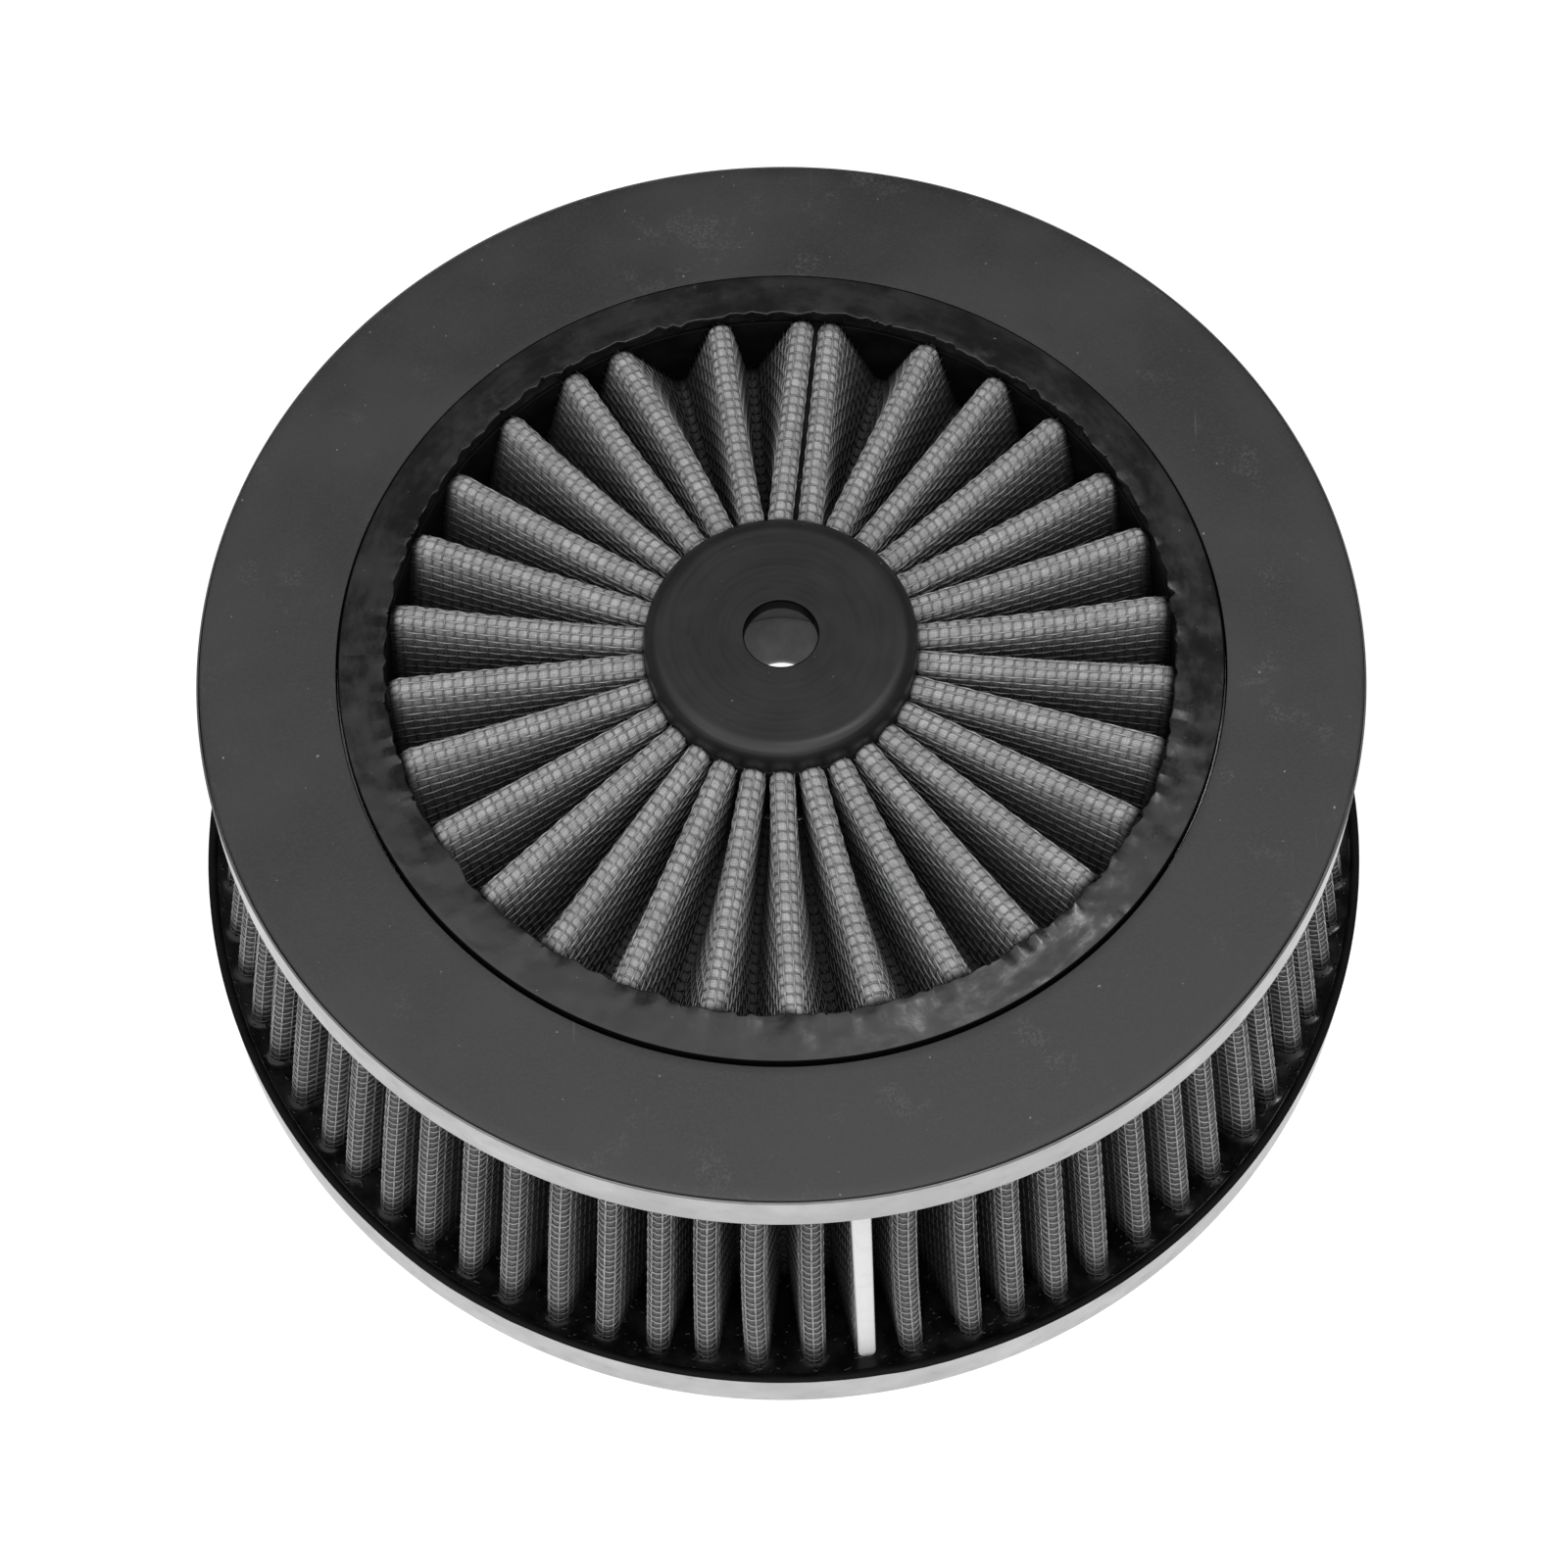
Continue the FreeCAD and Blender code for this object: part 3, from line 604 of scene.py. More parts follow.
def make_top_face_ring():
    """Flat rubber ring, with a slightly wavy face."""
    bore = STEP_RADIUS + RING_GAP
    outside = TOP_RADIUS - LIP_METAL - 0.14

    def wavy(angle, radius, height):
        on_top = height > FACE_HEIGHT - 0.3
        return radius, height + on_top * (wander(angle, 13, 0.05, 21) - 0.05)

    corners = (
        (outside, UNDER_RING, 0.1), (outside, FACE_HEIGHT, 0.35),
        (bore, FACE_HEIGHT, 0.08), (bore, UNDER_RING, 0.1),
    )
    turned_piece(
        "top_face_ring_skin", corners, RUBBER, ["top_face_ring"], shape=wavy, longest=1.5)


def make_inner_rim():
    """The raised rim, with a torn inner edge where the casting flashed over its mould."""
    edge = BORE_RADIUS + 0.15
    torn_width = 1.6
    settled = 0.12

    def torn(angle, radius, height):
        near = np.clip((edge + torn_width - radius) / torn_width, 0.0, 1.0) * (height > FACE_HEIGHT - 0.6)
        ragged = jagged(angle, 330, 0.30, 31) + jagged(angle, 110, 0.28, 32) + wander(angle, 17, 0.25, 33)
        nicks = np.maximum(jagged(angle, 640, 1.0, 34) - 0.72, 0.0) * 2.2
        lift = jagged(angle, 240, 0.14, 35) * near
        raised = height > FACE_HEIGHT
        swell = wander(angle, 11, 0.12, 36) * raised
        return radius + near * (ragged + nicks - 0.35), height + lift + swell - settled * raised

    corners = (
        (STEP_RADIUS, UNDER_RING, 0.1), (STEP_RADIUS, FACE_HEIGHT + STEP_RAISE, 0.08),
        (edge, RIM_TOP - 0.1, 0.16), (BORE_RADIUS + 0.35, FACE_HEIGHT - 0.2, 0.0),
        (BORE_RADIUS, UNDER_RING, 0.0),
    )
    turned_piece(
        "inner_rim_skin", corners, RIM, ["inner_rim"],
        shape=torn, longest=0.9, segments=1800)


def make_radial_wall():
    """Potted wall; it closes on the ends of the pleats and has an uneven lower edge."""
    bore = RADIAL_END - 0.05

    def poured(angle, radius, height):
        return radius, height + wander(angle, 40, 0.12, 41) * (height < WALL_FOOT + 1.0)

    corners = (
        (WEB_RADIUS, WALL_FOOT, 0.4), (WEB_RADIUS, WALL_HEAD, 0.1),
        (bore, WALL_HEAD, 0.1), (bore, WALL_FOOT, 0.5),
    )
    turned_piece("radial_wall_skin", corners, DULL, ["radial_pack_wall"], shape=poured)


def make_hub():
    """Hub cap with turning rings, hub core and the lower disc with its recess."""
    ring_pitch = 0.9
    ring_height = 0.004
    web = HUB_TOP - HUB_CAP_WEB
    cap = (
        (BOLT_RADIUS, web, 0.25), (CAVITY_RADIUS, web, 0.3), (CAVITY_RADIUS, HUB_CAP_FOOT, 0.2),
        (HUB_RADIUS, HUB_CAP_FOOT, 0.15), (HUB_RADIUS, HUB_TOP, HUB_ROUND), (BOLT_RADIUS, HUB_TOP, 0.15),
    )

    def ringed(angle, radius, height):
        on_top = height > HUB_TOP - 0.2
        return radius, height - on_top * ring_height * (1 + np.sin(radius * TAU / ring_pitch))

    turned_piece("hub_cap_skin", cap, HUB, ["hub_cap"], longest=0.3, shape=ringed)
    core = (
        (HUB_RADIUS, CORE_FOOT, 0.3), (HUB_RADIUS, CORE_HEAD, 0.15),
        (CAVITY_RADIUS, CORE_HEAD, 0.15), (CAVITY_RADIUS, CORE_FOOT, 0.2),
    )
    turned_piece("hub_core_skin", core, HUB, ["hub_core"], longest=2.0)
    underside = BASE_HEAD - DISC_THICKNESS
    spigot = CAVITY_RADIUS - 0.03
    base = (
        (BOLT_RADIUS, underside, 0.12), (RECESS_RADIUS, underside, 0.2), (RECESS_RADIUS, BASE_FOOT, 0.4),
        (BASE_RADIUS, BASE_FOOT, 0.5), (BASE_RADIUS, CORE_FOOT, 0.3), (spigot, CORE_FOOT, 0.1),
        (spigot, BASE_HEAD, 0.3), (BOLT_RADIUS, BASE_HEAD, 0.12),
    )
    turned_piece("hub_base_skin", base, HUB_BASE, ["hub_base"], longest=1.0)


def make_bottom_cap():
    """Lower end cap: a channel that is open upwards, whose walls flare a little unevenly."""
    bore_inside = OUTLET_RADIUS + METAL
    wall_inside = BOTTOM_RADIUS - METAL
    floor = BOTTOM_WEB + METAL
    corners = (
        (BOTTOM_RADIUS, 0.0, 0.3), (BOTTOM_RADIUS, BOTTOM_WALL_HEIGHT, 0.35),
        (wall_inside, BOTTOM_WALL_HEIGHT, 0.3), (wall_inside, floor, 0.3), (bore_inside, floor, 0.3),
        (bore_inside, OUTLET_WALL_HEIGHT, 0.25), (OUTLET_RADIUS, OUTLET_WALL_HEIGHT, 0.4),
        (OUTLET_RADIUS, BOTTOM_WEB, 0.4), (wall_inside, BOTTOM_WEB, 0.1), (wall_inside, 0.0, 0.3),
    )

    def uneven(angle, radius, height):
        drop = np.clip(height / 2.0, 0.0, 1.0) * (wander(angle, 7, 0.05, 52) - 0.10)
        return radius + wander(angle, 9, 0.06, 51) - 0.06, height + drop

    turned_piece("bottom_cap_skin", corners, ALUMINIUM, ["bottom_cap"], shape=uneven)


def make_bottom_gasket():
    """Flat seal with two shallow grooves that leave three sealing lands."""
    groove = 0.35
    corners = [(OUTLET_RADIUS, 0.0, 0.3)]
    for radius in (OUTLET_RADIUS + 6.0, OUTLET_RADIUS + 12.5):
        for across, depth in ((0.0, 0.0), (0.5, groove), (2.5, groove), (3.0, 0.0)):
            corners.append((radius + across, depth, 0.12))
    corners += [(GASKET_RADIUS, 0.0, 0.3), (GASKET_RADIUS, BOTTOM_WEB, 0.1)]
    corners += [(OUTLET_RADIUS, BOTTOM_WEB, 0.1)]
    turned_piece("bottom_gasket_skin", corners, RUBBER, ["bottom_gasket"], longest=2.0)


# ---- folded sheets

def right_of(heading):
    """Unit vectors to the right of headings."""
    return np.stack([np.sin(heading), -np.cos(heading)], -1)


class Folded:
    """A folded sheet's cross-sections at several stations, as legs and arcs round fold centres.

    centres has one row of points for each station. A turn of +1 is a fold to the left, -1 to the right
    and 0 a free end. Segment 2i is the leg after fold i, and segment 2i - 1 is the arc of fold i.
    """

    def __init__(self, centres, turns):
        self.centres = centres
        self.turns = np.array(turns, dtype=float)
        self.radii = np.where(self.turns != 0, FOLD_RADIUS, 0.0)
        self.bends = self.turns * self.radii
        gap = centres[:, 1:] - centres[:, :-1]
        reach = self.bends[:-1] - self.bends[1:]
        distance = np.hypot(gap[..., 0], gap[..., 1])
        self.headings = np.arctan2(gap[..., 1], gap[..., 0]) + np.arcsin(reach / distance)

    def turned(self, fold):
        """How far the sheet turns round a fold."""
        turn = self.turns[fold]
        change = self.headings[:, fold] - self.headings[:, fold - 1]
        return turn * np.mod(change * turn, TAU)

    def leg_ends(self, leg):
        """Start and end of legs, and the directions across them."""
        across = right_of(self.headings[:, leg])
        start = self.centres[:, leg] + self.bends[leg][..., None] * across
        end = self.centres[:, leg + 1] + self.bends[leg + 1][..., None] * across
        return start, end, across

    def lengths(self, offset):
        """Length of each segment at the middle station, at an offset from the mid-line."""
        middle = len(self.centres) // 2
        lengths = []
        for segment in range(2 * len(self.turns) - 3):
            if segment % 2 == 0:
                start, end, _ = self.leg_ends(np.array([segment // 2]))
                lengths.append(np.linalg.norm((end - start)[middle, 0]))
            else:
                fold = (segment + 1) // 2
                radius = self.radii[fold] + self.turns[fold] * offset
                lengths.append(abs(self.turned(fold)[middle]) * radius)
        return np.array(lengths)

    def columns(self, pitch, per_cell, offset):
        """Places along the sheet, evenly spaced at an offset: segment number plus the share of it."""
        reach = np.concatenate([[0.0], np.cumsum(self.lengths(offset))])
        cells = round(reach[-1] / pitch)
        along = np.linspace(0.0, reach[-1], cells * per_cell + 1)
        segment = np.clip(np.searchsorted(reach, along, side="right") - 1, 0, len(reach) - 2)
        share = (along - reach[segment]) / (reach[segment + 1] - reach[segment])
        return segment + np.clip(share, 0.0, 0.999999), along

    def points(self, columns):
        """Mid-line points and the directions to the dirty side, for every station and column."""
        segment = np.floor(columns).astype(int)
        share = (columns - segment)[None, :, None]
        leg = np.minimum(segment // 2, len(self.turns) - 2)
        start, end, across = self.leg_ends(leg)
        on_leg = start + (end - start) * share
        fold = np.clip((segment + 1) // 2, 1, len(self.turns) - 2)
        heading = self.headings[:, fold - 1] + share[..., 0] * self.turned(fold)
        outward = right_of(heading)
        on_arc = self.centres[:, fold] + self.bends[fold][..., None] * outward
        is_leg = (segment % 2 == 0)[None, :, None]
        return np.where(is_leg, on_leg, on_arc), np.where(is_leg, across, outward)


def side_tip(stations):
    """Radius of the side pleats' tips at stations from 0, the foot, to 1, the head."""
    return SIDE_TIP_FOOT - SIDE_LEAN * stations


def side_sheet(stations):
    """The side pack's folds at each station, a little uneven as hand work is."""
    random = np.random.default_rng(61)
    pitch = TAU / SIDE_PLEATS
    tip = side_tip(stations) - FOLD_REACH
    root = side_tip(stations) - SIDE_PLEAT_DEPTH + FOLD_REACH
    bow = np.sin(stations * math.pi)
    free_end = polar(SIDE_SEAM, tip)
    aside = polar(SIDE_SEAM + math.pi / 2, np.full(len(stations), SEAM_HALF_GAP))
    centres = [free_end + aside]
    turns = [0]

    def fold(place, turn, radius, shift, sag, depths):
        """Add a fold at a number of pitches from the seam, off its place by spreads of each kind."""
        angle = SIDE_SEAM + place * pitch + random.normal(0, shift) + random.normal(0, sag) * bow
        centres.append(polar(angle, radius + random.uniform(*depths)))
        turns.append(turn)

    for index in range(SIDE_PLEATS):
        fold(index + 0.5, -1, root, shift=0.0035, sag=0.0028, depths=(-0.25, 0.25))
        if index < SIDE_PLEATS - 1:
            fold(index + 1, 1, tip, shift=0.0045, sag=0.0035, depths=(-0.45, 0.0))
    centres.append(free_end - aside)
    turns.append(0)
    return Folded(np.stack(centres, 1), turns)


def side_space(stations, flat, outward, offset):
    """Carry flat points of the side pack into space: heights come from the stations."""
    height = (SIDE_FOOT + SIDE_LENGTH * stations)[:, None]
    return lifted(flat + outward * offset, height), lifted(outward, 0.0)


def ridge_lean(index, angle):
    """How far a ridge of the radial pack leans sideways at the rim, in radians: hand folding is uneven."""
    drift = 1.7 * math.cos(angle - math.radians(300))
    crowding = 3.8 if index == 1 else 0.0
    return math.radians(drift + crowding)


def radial_sheet(stations):
    """The radial pack's folds at stations from 0, at the hub, to 1, at the rim, unrolled at each radius."""
    random = np.random.default_rng(71)
    radius = RADIAL_START + RADIAL_LENGTH * stations
    droop = 1.1 * np.clip((stations - 0.93) / 0.07, 0.0, 1.0) ** 2
    top = RIDGE_START - RIDGE_FALL * stations - droop - FOLD_REACH
    low = VALLEY + FOLD_REACH
    bow = np.sin(stations * math.pi)
    spread = 0.10 + 0.75 * stations
    regular = RIDGES - 2
    pitch = (TAU - 2 * SEAM_NEXT) / (regular - 1)
    centres = []
    turns = []

    def fold(angle, sideways, turn, level):
        centres.append(np.stack([-(radius * angle + sideways), np.broadcast_to(level, radius.shape)], -1))
        turns.append(turn)

    def loose(amount):
        return random.uniform(-1, 1) * amount * spread + random.normal(0, 0.35) * amount * bow

    inner = SEAM_RIDGE_OFFSET - FOLD_RADIUS
    fold(RADIAL_SEAM, inner, 0, low)
    fold(RADIAL_SEAM, SEAM_RIDGE_OFFSET, 1, top - 0.1)
    fold(RADIAL_SEAM + SEAM_VALLEY, 0.0, -1, low)
    for index in range(regular):
        angle = RADIAL_SEAM + SEAM_NEXT + index * pitch
        lean = radius * stations * ridge_lean(index, angle)
        fold(angle, loose(0.55) + lean, 1, top + random.uniform(-0.35, 0.0))
        if index < regular - 1:
            fold(angle + pitch / 2, loose(0.4) + lean, -1, low + random.uniform(0.0, 0.5))
    far_seam = RADIAL_SEAM + TAU
    fold(far_seam - SEAM_VALLEY, 0.0, -1, low)
    fold(far_seam, -SEAM_RIDGE_OFFSET, 1, top - 0.15)
    fold(far_seam, -inner, 0, low)
    return Folded(np.stack(centres, 1), turns)


def radial_space(stations, flat, outward, offset):
    """Wrap flat points of the radial pack round the axis: x is minus the arc length, y the height."""
    radius = (RADIAL_START + RADIAL_LENGTH * stations)[:, None]
    moved = flat + outward * offset
    angle = -moved[..., 0] / radius
    around = np.stack([-np.sin(angle), np.cos(angle), np.zeros_like(angle)], -1)
    normal = around * -outward[..., :1]
    normal[..., 2] += outward[..., 1]
    return ring_points(angle, radius, moved[..., 1]), normal


def side_depth(stations, points):
    """How deep points of the side pack lie between the pleats: 0 at the tips and 1 where it is dark."""
    return (side_tip(stations)[:, None] - np.hypot(points[..., 0], points[..., 1])) / SIDE_DARK_DEPTH


def side_soak(stations, points):
    """How far potting has crept up the feet of the side pleats."""
    above = points[..., 2] - POTTING_LEVEL
    angle = np.arctan2(points[..., 1], points[..., 0])
    return np.clip(1 - above / (6.5 + wander(angle, 150, 1.6, 65)), 0.0, 1.0)


def radial_depth(stations, points):
    """How deep points of the radial pack lie between the ridges: 0 at the tops and 1 in the valleys."""
    top = (RIDGE_START - RIDGE_FALL * stations)[:, None]
    return (top - points[..., 2]) / (RIDGE_START - VALLEY)


def radial_soak(stations, points):
    """How far potting has crept up the outer ends of the radial pleats."""
    inward = RADIAL_END - np.hypot(points[..., 0], points[..., 1])
    angle = np.arctan2(points[..., 1], points[..., 0])
    return np.clip(1 - inward / (2.0 + wander(angle, 160, 0.9, 75)), 0.0, 1.0)


@dataclass
class Pack:
    """A pleated pack: how its sheet is folded and lies in space, how much painted shade it gets and how
    potting soaks it, and its wire cloth.
    """
    name: str
    sheet: object
    space: object
    depth: object
    soak: object
    path_pitch: float
    cross_pitch: float
    length: float
    sectors: int
    # Painted shade on the cloth, on the wires along the pleats and on the wires across them.
    cloth_grime: float
    length_grime: float
    cross_grime: float
    taut_lift: float

    def rows(self):
        """How many crosswise cells the cloth has from one end of the pleats to the other."""
        return round(self.length / self.cross_pitch)

    def columns(self, side, per_cell):
        """Places across the pleats, evenly spaced on one side of the sheet, and their distances."""
        return self.sheet(np.array([0.5])).columns(self.path_pitch, per_cell, side * SURFACE_OFFSET)

    def surface(self, stations, columns, offset):
        """Points and normals at stations and columns; offset is a number or a grid of numbers."""
        flat, outward = self.sheet(stations).points(columns)
        grid = np.broadcast_to(np.asarray(offset, dtype=float), flat.shape[:2])[..., None]
        return self.space(stations, flat, outward, grid)

    def grids(self, stations, points, grime, **more):
        """Grids that describe points on the pack: how deep they lie, how soaked they are, and how much
        painted shade they get.
        """
        shape = points.shape[:2]
        grids = {"deep": self.depth(stations, points), "soak": self.soak(stations, points)}
        grids.update(points=points, grime=np.broadcast_to(grime, shape), **more)
        return grids


# ---- gauze plies

PLY_BASE = 0.20
PLY_LIFT = 0.12
PILLOW = 0.13
PILLOW_LIFT = 0.15
BACK = 0.02
BACK_ROWS = 5
BACK_CROWN = 0.5
WIRE_CENTRE = 0.47
WIRE_DIP = 0.07
WIRE_RADIUS = 0.13
WIRE_SHADE = 0.45
SURFACE_OFFSET = 0.43


def tautness(depth):
    """How tightly a ply is pulled against the wires: 1 over a fold's crest and 0 on the walls."""
    return eased(np.clip((0.26 - depth) / 0.18, 0.0, 1.0))


def sectors(cells, count):
    """Split a number of cells into runs: number, first border and last border of each."""
    borders = [round(cells * index / count) for index in range(count + 1)]
    return zip(range(1, count + 1), borders[:-1], borders[1:])


def pillows(rows, columns, per_cell):
    """How far the cloth bulges at each grid point, 0 at the wires and about 1 mid-cell."""
    down = np.arange(rows) / per_cell
    along = np.arange(columns) / per_cell
    hump_down = 1 - (2 * (down % 1.0) - 1) ** 2
    hump_along = 1 - (2 * (along % 1.0) - 1) ** 2
    bulge = np.sqrt(np.outer(hump_down, hump_along))
    cells = (int(down[-1]) + 1, int(along[-1]) + 1)
    full = np.random.default_rng(81).uniform(0.72, 1.0, cells)
    return bulge * full[down.astype(int)][:, along.astype(int)]


def ply_face(pack, stations, columns, along, offset, crown):
    """Grids of one face of a ply, with its cloth coordinates."""
    points, _ = pack.surface(stations, columns, offset)
    shape = points.shape[:2]
    climb = np.broadcast_to((stations * pack.length)[:, None], shape)
    cloth = np.stack([np.broadcast_to(along, shape), climb], -1)
    return pack.grids(stations, points, pack.cloth_grime, crown=np.broadcast_to(crown, shape), cloth=cloth)


def ply_shell(rows, wide):
    """Quads and end polygons that close a front grid and a back grid, each `wide` points wide."""
    start = rows * wide
    column = np.arange(wide - 1)
    last_front = (rows - 1) * wide + column
    last_back = start + (BACK_ROWS - 1) * wide + column
    quads = np.concatenate([
        grid_quads(rows, wide),
        grid_quads(BACK_ROWS, wide, start, flip=True),
        np.stack([column + 1, column, start + column, start + column + 1], -1),
        np.stack([last_front, last_front + 1, last_back + 1, last_back], -1),
    ])
    ends = []
    for edge, order in ((0, 1), (wide - 1, -1)):
        loop = [row * wide + edge for row in range(rows)]
        loop += [start + row * wide + edge for row in reversed(range(BACK_ROWS))]
        ends.append(loop[::order])
    return quads, ends


def make_ply(pack, side, layer, per_cell, span):
    """One closed ply of gauze for each sector: pillowed on its wire side, plain on its hidden side."""
    stations = np.linspace(*span, pack.rows() * per_cell + 1)
    back_stations = np.linspace(*span, BACK_ROWS)
    columns, along = pack.columns(side, per_cell)
    bulge = pillows(len(stations), len(columns), per_cell)
    middle, _ = pack.surface(stations, columns, 0.0)
    taut = tautness(pack.depth(stations, middle)) * pack.taut_lift
    height = PLY_BASE + PLY_LIFT * taut + (PILLOW + PILLOW_LIFT * taut) * bulge
    front = ply_face(pack, stations, columns, along, side * height, bulge)
    back = ply_face(pack, back_stations, columns, along, side * BACK, BACK_CROWN)
    cells = (len(columns) - 1) // per_cell
    for number, first, last in sectors(cells, pack.sectors):
        keep = slice(first * per_cell, last * per_cell + 1)
        grids = {key: joined([front[key][:, keep], back[key][:, keep]]) for key in front}
        quads, ends = ply_shell(len(stations), keep.stop - keep.start)
        if side < 0:
            quads = quads[:, ::-1]
            ends = [loop[::-1] for loop in ends]
        name = "%s_%s_gauze" % (pack.name, layer)
        points = grids.pop("points")
        cloth = grids.pop("cloth")
        piece = quad_mesh("%s_%d" % (name, number), points, quads, ends, GAUZE, grids, cloth)
        declare(piece, [name])


# ---- wire cloth

def tubes(lines, normals, sides, first):
    """Closed tubes along rows of points. Returns points, quads and end polygons."""
    ahead = np.gradient(lines, axis=1)
    ahead /= np.linalg.norm(ahead, axis=-1, keepdims=True)
    across = np.cross(ahead, normals)
    across /= np.linalg.norm(across, axis=-1, keepdims=True)
    upright = np.cross(across, ahead)
    around = np.arange(sides)
    turn = around / sides * TAU + math.pi / sides
    ring = np.cos(turn)[:, None] * upright[..., None, :] + np.sin(turn)[:, None] * across[..., None, :]
    points = lines[..., None, :] + WIRE_RADIUS * ring
    count, length = lines.shape[:2]
    starts = first + np.arange(count) * length * sides
    block = grid_quads(length, sides, wrap_columns=True)
    quads = (block[None] + starts[:, None, None]).reshape(-1, 4)
    ends = []
    for start in starts:
        ends += [start + around[::-1], start + (length - 1) * sides + around]
    return points.reshape(-1, 3), quads, ends


def make_wires(pack, side, layer, sides, span, fray):
    """Woven wire cloth over a ply: wires along the pleats and wires across them, over and under."""
    stations = np.linspace(*span, pack.rows() + 1)
    columns, _ = pack.columns(side, 2)
    crossing = columns[::2]
    checker = (-1.0) ** np.add.outer(np.arange(len(stations)), np.arange(len(crossing)))
    weave = np.zeros((len(stations), len(columns)))
    weave[:, ::2] = -checker
    along, along_normals = pack.surface(stations, crossing, side * (WIRE_CENTRE + WIRE_DIP * checker))
    across, across_normals = pack.surface(stations, columns, side * (WIRE_CENTRE + WIRE_DIP * weave))
    if fray:
        share = np.random.default_rng(91).uniform(-0.1, fray, (len(crossing), 1))
        along[-1] += (along[-1] - along[-2]) * share
    # Painted shade: wires along the pleats that dip under a crosswise wire are darker by WIRE_SHADE.
    dipped = pack.length_grime + WIRE_SHADE * (checker < 0)
    lengthwise = pack.grids(stations, along, dipped, normals=along_normals)
    crosswise = pack.grids(stations, across, pack.cross_grime, normals=across_normals)
    for number, first, last in sectors(len(crossing) - 1, pack.sectors):
        own = slice(first, last if number < pack.sectors else last + 1)
        families = (
            {key: grid[:, own].swapaxes(0, 1) for key, grid in lengthwise.items()},
            {key: grid[1:-1, first * 2:last * 2 + 1] for key, grid in crosswise.items()},
        )
        points = np.empty((0, 3))
        quads = []
        ends = []
        for family in families:
            more, more_quads, more_ends = tubes(family["points"], family["normals"], sides, len(points))
            points = np.concatenate([points, more])
            quads.append(more_quads)
            ends += more_ends
        attributes = {
            key: np.repeat(joined([family[key] for family in families]), sides)
            for key in ("grime", "deep", "soak")
        }
        name = "%s_%s_wires_%d" % (pack.name, layer, number)
        piece = quad_mesh(name, points, np.concatenate(quads), ends, WIRE, attributes)
        declare(piece, ["%s_%s_screen" % (pack.name, layer)])


SIDE = Pack(
    "side", side_sheet, side_space, side_depth, side_soak, path_pitch=1.45, cross_pitch=1.55,
    length=SIDE_LENGTH, sectors=6, cloth_grime=0.88, length_grime=0.0, cross_grime=0.15, taut_lift=0.45)
RADIAL = Pack(
    "radial", radial_sheet, radial_space, radial_depth, radial_soak, path_pitch=1.42, cross_pitch=1.49,
    length=RADIAL_LENGTH, sectors=3, cloth_grime=0.0, length_grime=0.22, cross_grime=0.72, taut_lift=1.0)


def make_packs():
    """Both packs. The radial pack's upper cloth stops just short of the rim and is frayed there."""
    whole = (0.0, 1.0)
    short = (0.0, 0.985)
    layers = (
        (SIDE, 1, "outer", 2, 3, whole, 0.0),
        (SIDE, -1, "inner", 1, 3, whole, 0.0),
        (RADIAL, 1, "upper", 3, 4, short, 0.55),
        (RADIAL, -1, "lower", 2, 3, whole, 0.0),
    )
    for pack, side, layer, per_cell, wire_sides, span, fray in layers:
        make_ply(pack, side, layer, per_cell, span)
        make_wires(pack, side, layer, wire_sides, span, fray)


# ---- potting and small pieces

def distance_to_pleats(spots):
    """Distance from points in plan to the side pack's mid-line at the level of the potting."""
    level = (POTTING_LEVEL - SIDE_FOOT) / SIDE_LENGTH
    sheet = side_sheet(np.array([level]))
    columns, _ = sheet.columns(0.3, 1, 0.0)
    line, _ = sheet.points(columns)
    tree = KDTree(line.shape[1])
    for index, (x, y) in enumerate(line[0]):
        tree.insert((x, y, 0.0), index)
    tree.balance()
    near = [tree.find((x, y, 0.0))[2] for x, y in spots.reshape(-1, 2)]
    return np.array(near).reshape(spots.shape[:2])


def make_bottom_potting():
    """Poured ring: its surface climbs the foot of every pleat, and it has crept over the metal edge."""
    bore = OUTLET_RADIUS + METAL
    wall = BOTTOM_RADIUS - METAL
    radius = np.linspace(bore, wall, 44)
    angle = (np.arange(POTTING_SEGMENTS) / POTTING_SEGMENTS * TAU)[:, None]
    near = distance_to_pleats(polar(angle, radius))
    half_cloth = 0.50
    pool = POTTING_LEVEL - 0.45
    climb = 0.28 * np.exp(-(np.maximum(near - half_cloth, 0.0) / 0.35) ** 1.3)
    edges = 0.50 * np.exp(-(wall - radius) / 2.4) + 0.5 * np.exp(-(radius - bore) / 0.6)
    waves = wander(angle, 60, 0.08, 101) + wander(angle, 190, 0.03, 102)
    surface = ring_points(angle, radius, pool + climb + edges + waves)
    floor = ring_points(angle, np.array([wall, bore]), BOTTOM_WEB + METAL)
    pour = np.concatenate([surface, floor], 1)
    make_potting_ring("bottom_potting_pour", pour, POTTING, flip=True)
    make_potting_ring("bottom_potting_creep", creep_over_edge(angle[:, 0]), DULL, flip=False)


def make_potting_ring(name, points, material, flip):
    """A closed ring of the bottom potting, from its sections round the axis."""
    quads = grid_quads(*points.shape[:2], wrap_rows=True, wrap_columns=True, flip=flip)
    piece = quad_mesh(name, points.reshape(-1, 3), quads, material=material)
    declare(piece, ["bottom_potting"])


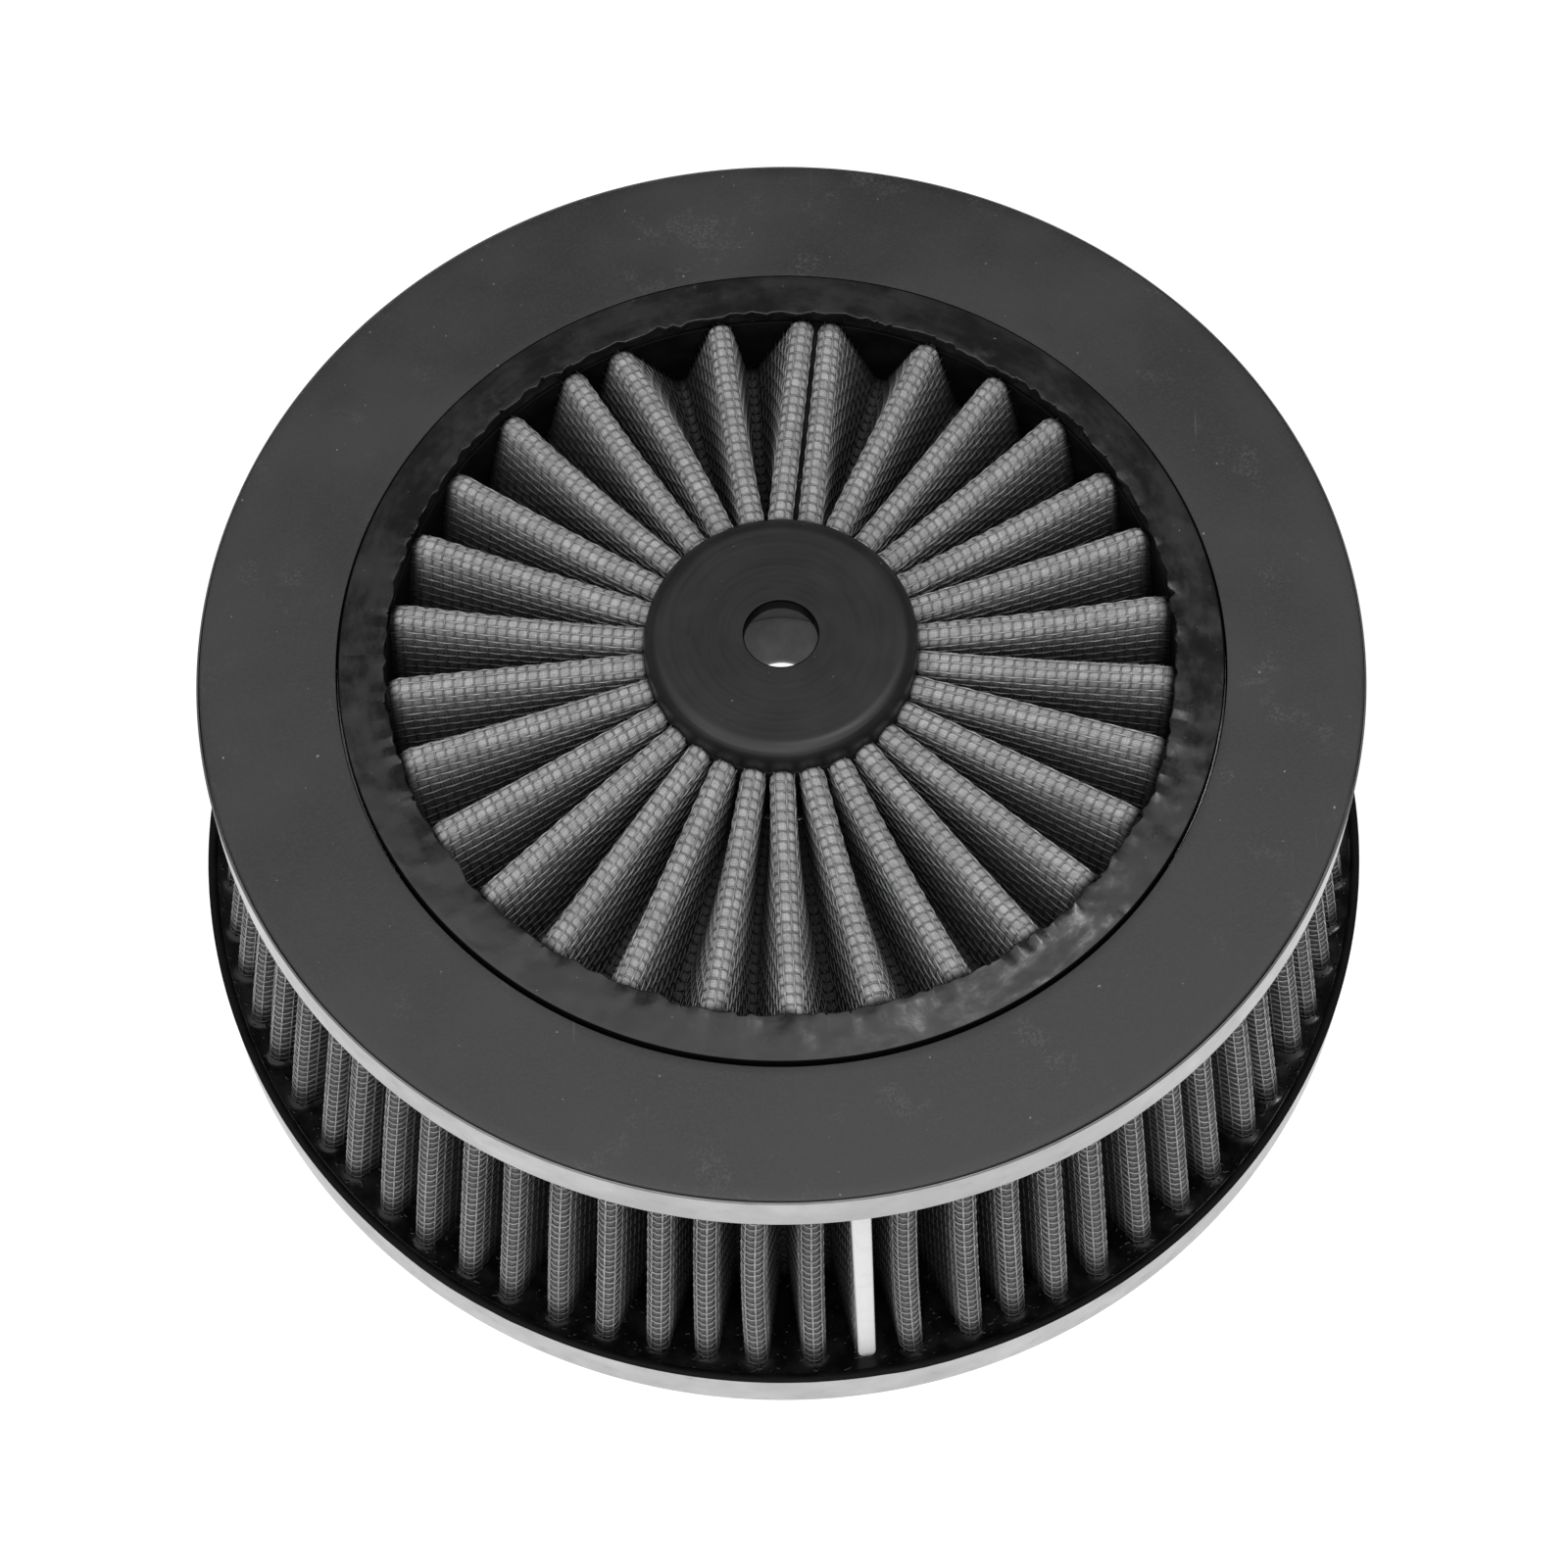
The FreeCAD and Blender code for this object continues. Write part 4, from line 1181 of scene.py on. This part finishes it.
def creep_over_edge(angle):
    """Thin skin of potting over the top edge of the bottom wall, running down it by an uneven depth."""
    ragged = jagged(angle, 150, 0.16, 112) + jagged(angle, 420, 0.07, 113)
    runs = 0.9 * np.maximum(wander(angle, 23, 1.0, 114) - 0.62, 0.0)
    depth = np.maximum(0.18 + wander(angle, 38, 0.26, 111) + ragged, 0.08) + runs
    outside = BOTTOM_RADIUS + 0.03
    top = BOTTOM_WALL_HEIGHT + 0.06
    inside = BOTTOM_RADIUS - METAL - 0.3
    section = (
        (inside, POTTING_LEVEL - 0.4),
        (outside - 0.35, BOTTOM_WALL_HEIGHT - depth * 0.5),
        (outside - 0.30, BOTTOM_WALL_HEIGHT - depth),
        (outside, BOTTOM_WALL_HEIGHT - depth + 0.05),
        (outside + 0.03, BOTTOM_WALL_HEIGHT - depth * 0.4),
        (outside, top - 0.25),
        (outside - 0.28, top),
        (inside + 0.05, top - 0.05),
    )
    return np.stack([ring_points(angle, radius, height) for radius, height in section], 1)


def clip_outline():
    """The clip's section: steps outward, the side (-1 or 1) and how far the rounding cuts in."""
    outline = [(0.0, -1.0, 0.0), (CLIP_DEPTH - CLIP_EDGE, -1.0, 0.0)]
    for step in range(1, 6):
        turn = step / 6 * math.pi / 2
        out = CLIP_DEPTH - CLIP_EDGE * (1 - math.sin(turn))
        outline.append((out, -1.0, CLIP_EDGE * (1 - math.cos(turn))))
    return outline + [(out, -side, inset) for out, side, inset in reversed(outline)]


def make_seam_clip():
    """Plastic strip over the side pack's free ends: soft edges, a slight skew and a foot sunk in potting."""
    height = np.linspace(CLIP_FOOT - CLIP_SUNK, CLIP_HEAD, 90)
    share = (height - height[0]) / (height[-1] - height[0])
    face = side_tip((height - SIDE_FOOT) / SIDE_LENGTH) - FOLD_REACH + CLIP_STAND_OFF
    foot_round = np.sqrt(np.clip(1 - (1 - np.clip(height - height[0], 0.0, 1.0)) ** 2, 0.02, 1.0))
    half = (CLIP_HALF_FOOT + (CLIP_HALF_HEAD - CLIP_HALF_FOOT) * share) * foot_round
    skew = CLIP_SKEW_FOOT + (CLIP_SKEW_HEAD - CLIP_SKEW_FOOT) * share
    out, side, inset = np.array(clip_outline()).T
    radial = face[:, None] + (out - CLIP_DEPTH)
    along = skew[:, None] + side * np.maximum(half[:, None] - inset, 0.05)
    plan = polar(SIDE_SEAM, radial) + polar(SIDE_SEAM + math.pi / 2, along)
    points = lifted(plan, height[:, None]).reshape(-1, 3)
    around = len(out)
    quads = grid_quads(len(height), around, wrap_columns=True)
    first = list(range(around))
    last = [(len(height) - 1) * around + index for index in first]
    piece = quad_mesh("side_seam_strip", points, quads, [first[::-1], last], CLIP)
    declare(piece, ["side_seam_clip"])


def dress_cad_nodes():
    """Give the CAD nodes that stay visible their material."""
    for node in ("top_potting", "radial_seam_bead"):
        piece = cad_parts[node]
        piece.data.materials.clear()
        piece.data.materials.append(POTTING)


# ---- studio

def make_floor():
    size = 4000.0
    points = [(-size, -size, 0.0), (size, -size, 0.0), (size, size, 0.0), (-size, size, 0.0)]
    floor = quad_mesh("floor", np.array(points), [(0, 1, 2, 3)], material=studio_white())


def make_light(name, place, size, power):
    """Area lamp at a place in millimetres, pointed at the middle of the top face."""
    data = bpy.data.lights.new(name, "AREA")
    data.shape = "RECTANGLE"
    data.size = size[0] * MM
    data.size_y = size[1] * MM
    data.energy = power
    lamp = bpy.data.objects.new(name, data)
    bpy.context.scene.collection.objects.link(lamp)
    lamp.location = Vector(place) * MM
    target = Vector((0.0, 0.0, FACE_HEIGHT)) * MM
    lamp.rotation_euler = (target - lamp.location).to_track_quat("-Z", "Y").to_euler()


def make_studio():
    world = bpy.data.worlds.new("studio")
    bpy.context.scene.world = world
    world.use_nodes = True
    background = world.node_tree.nodes["Background"]
    background.inputs["Color"].default_value = (1.0, 1.0, 1.0, 1.0)
    background.inputs["Strength"].default_value = 0.20
    make_light("overhead", place=(-80.0, -360.0, 960.0), size=(1600.0, 1500.0), power=16.0)
    make_light("front_fill", place=(-100.0, -1300.0, 500.0), size=(1600.0, 700.0), power=0.6)
    make_light("window", place=(195.0, 190.0, 957.0), size=(110.0, 70.0), power=0.9)
    make_floor()
    bpy.context.scene.view_settings.view_transform = "Standard"


def make_camera():
    """Camera above the front edge, looking down at about 64 degrees."""
    elevation = math.radians(63.96)
    roll = math.radians(-0.70)
    distance = 584.1
    look_at = Vector((0.17, -19.83, FACE_HEIGHT))
    back = Vector((0.0, -math.cos(elevation), math.sin(elevation)))
    right = Vector((1.0, 0.0, 0.0))
    up = back.cross(right)
    tilted_right = math.cos(roll) * right + math.sin(roll) * up
    tilted_up = -math.sin(roll) * right + math.cos(roll) * up
    place = (look_at + back * distance) * MM
    data = bpy.data.cameras.new("camera")
    data.sensor_width = 36.0
    data.lens = 99.5
    data.clip_start = 0.01
    camera = bpy.data.objects.new("camera", data)
    bpy.context.scene.collection.objects.link(camera)
    turn = Matrix((tilted_right, tilted_up, back)).transposed().to_4x4()
    camera.matrix_world = Matrix.Translation(place) @ turn
    bpy.context.scene.camera = camera


make_top_cap()
make_top_face_ring()
make_inner_rim()
make_radial_wall()
make_hub()
make_bottom_cap()
make_bottom_gasket()
make_packs()
make_bottom_potting()
make_seam_clip()
dress_cad_nodes()
make_studio()
make_camera()
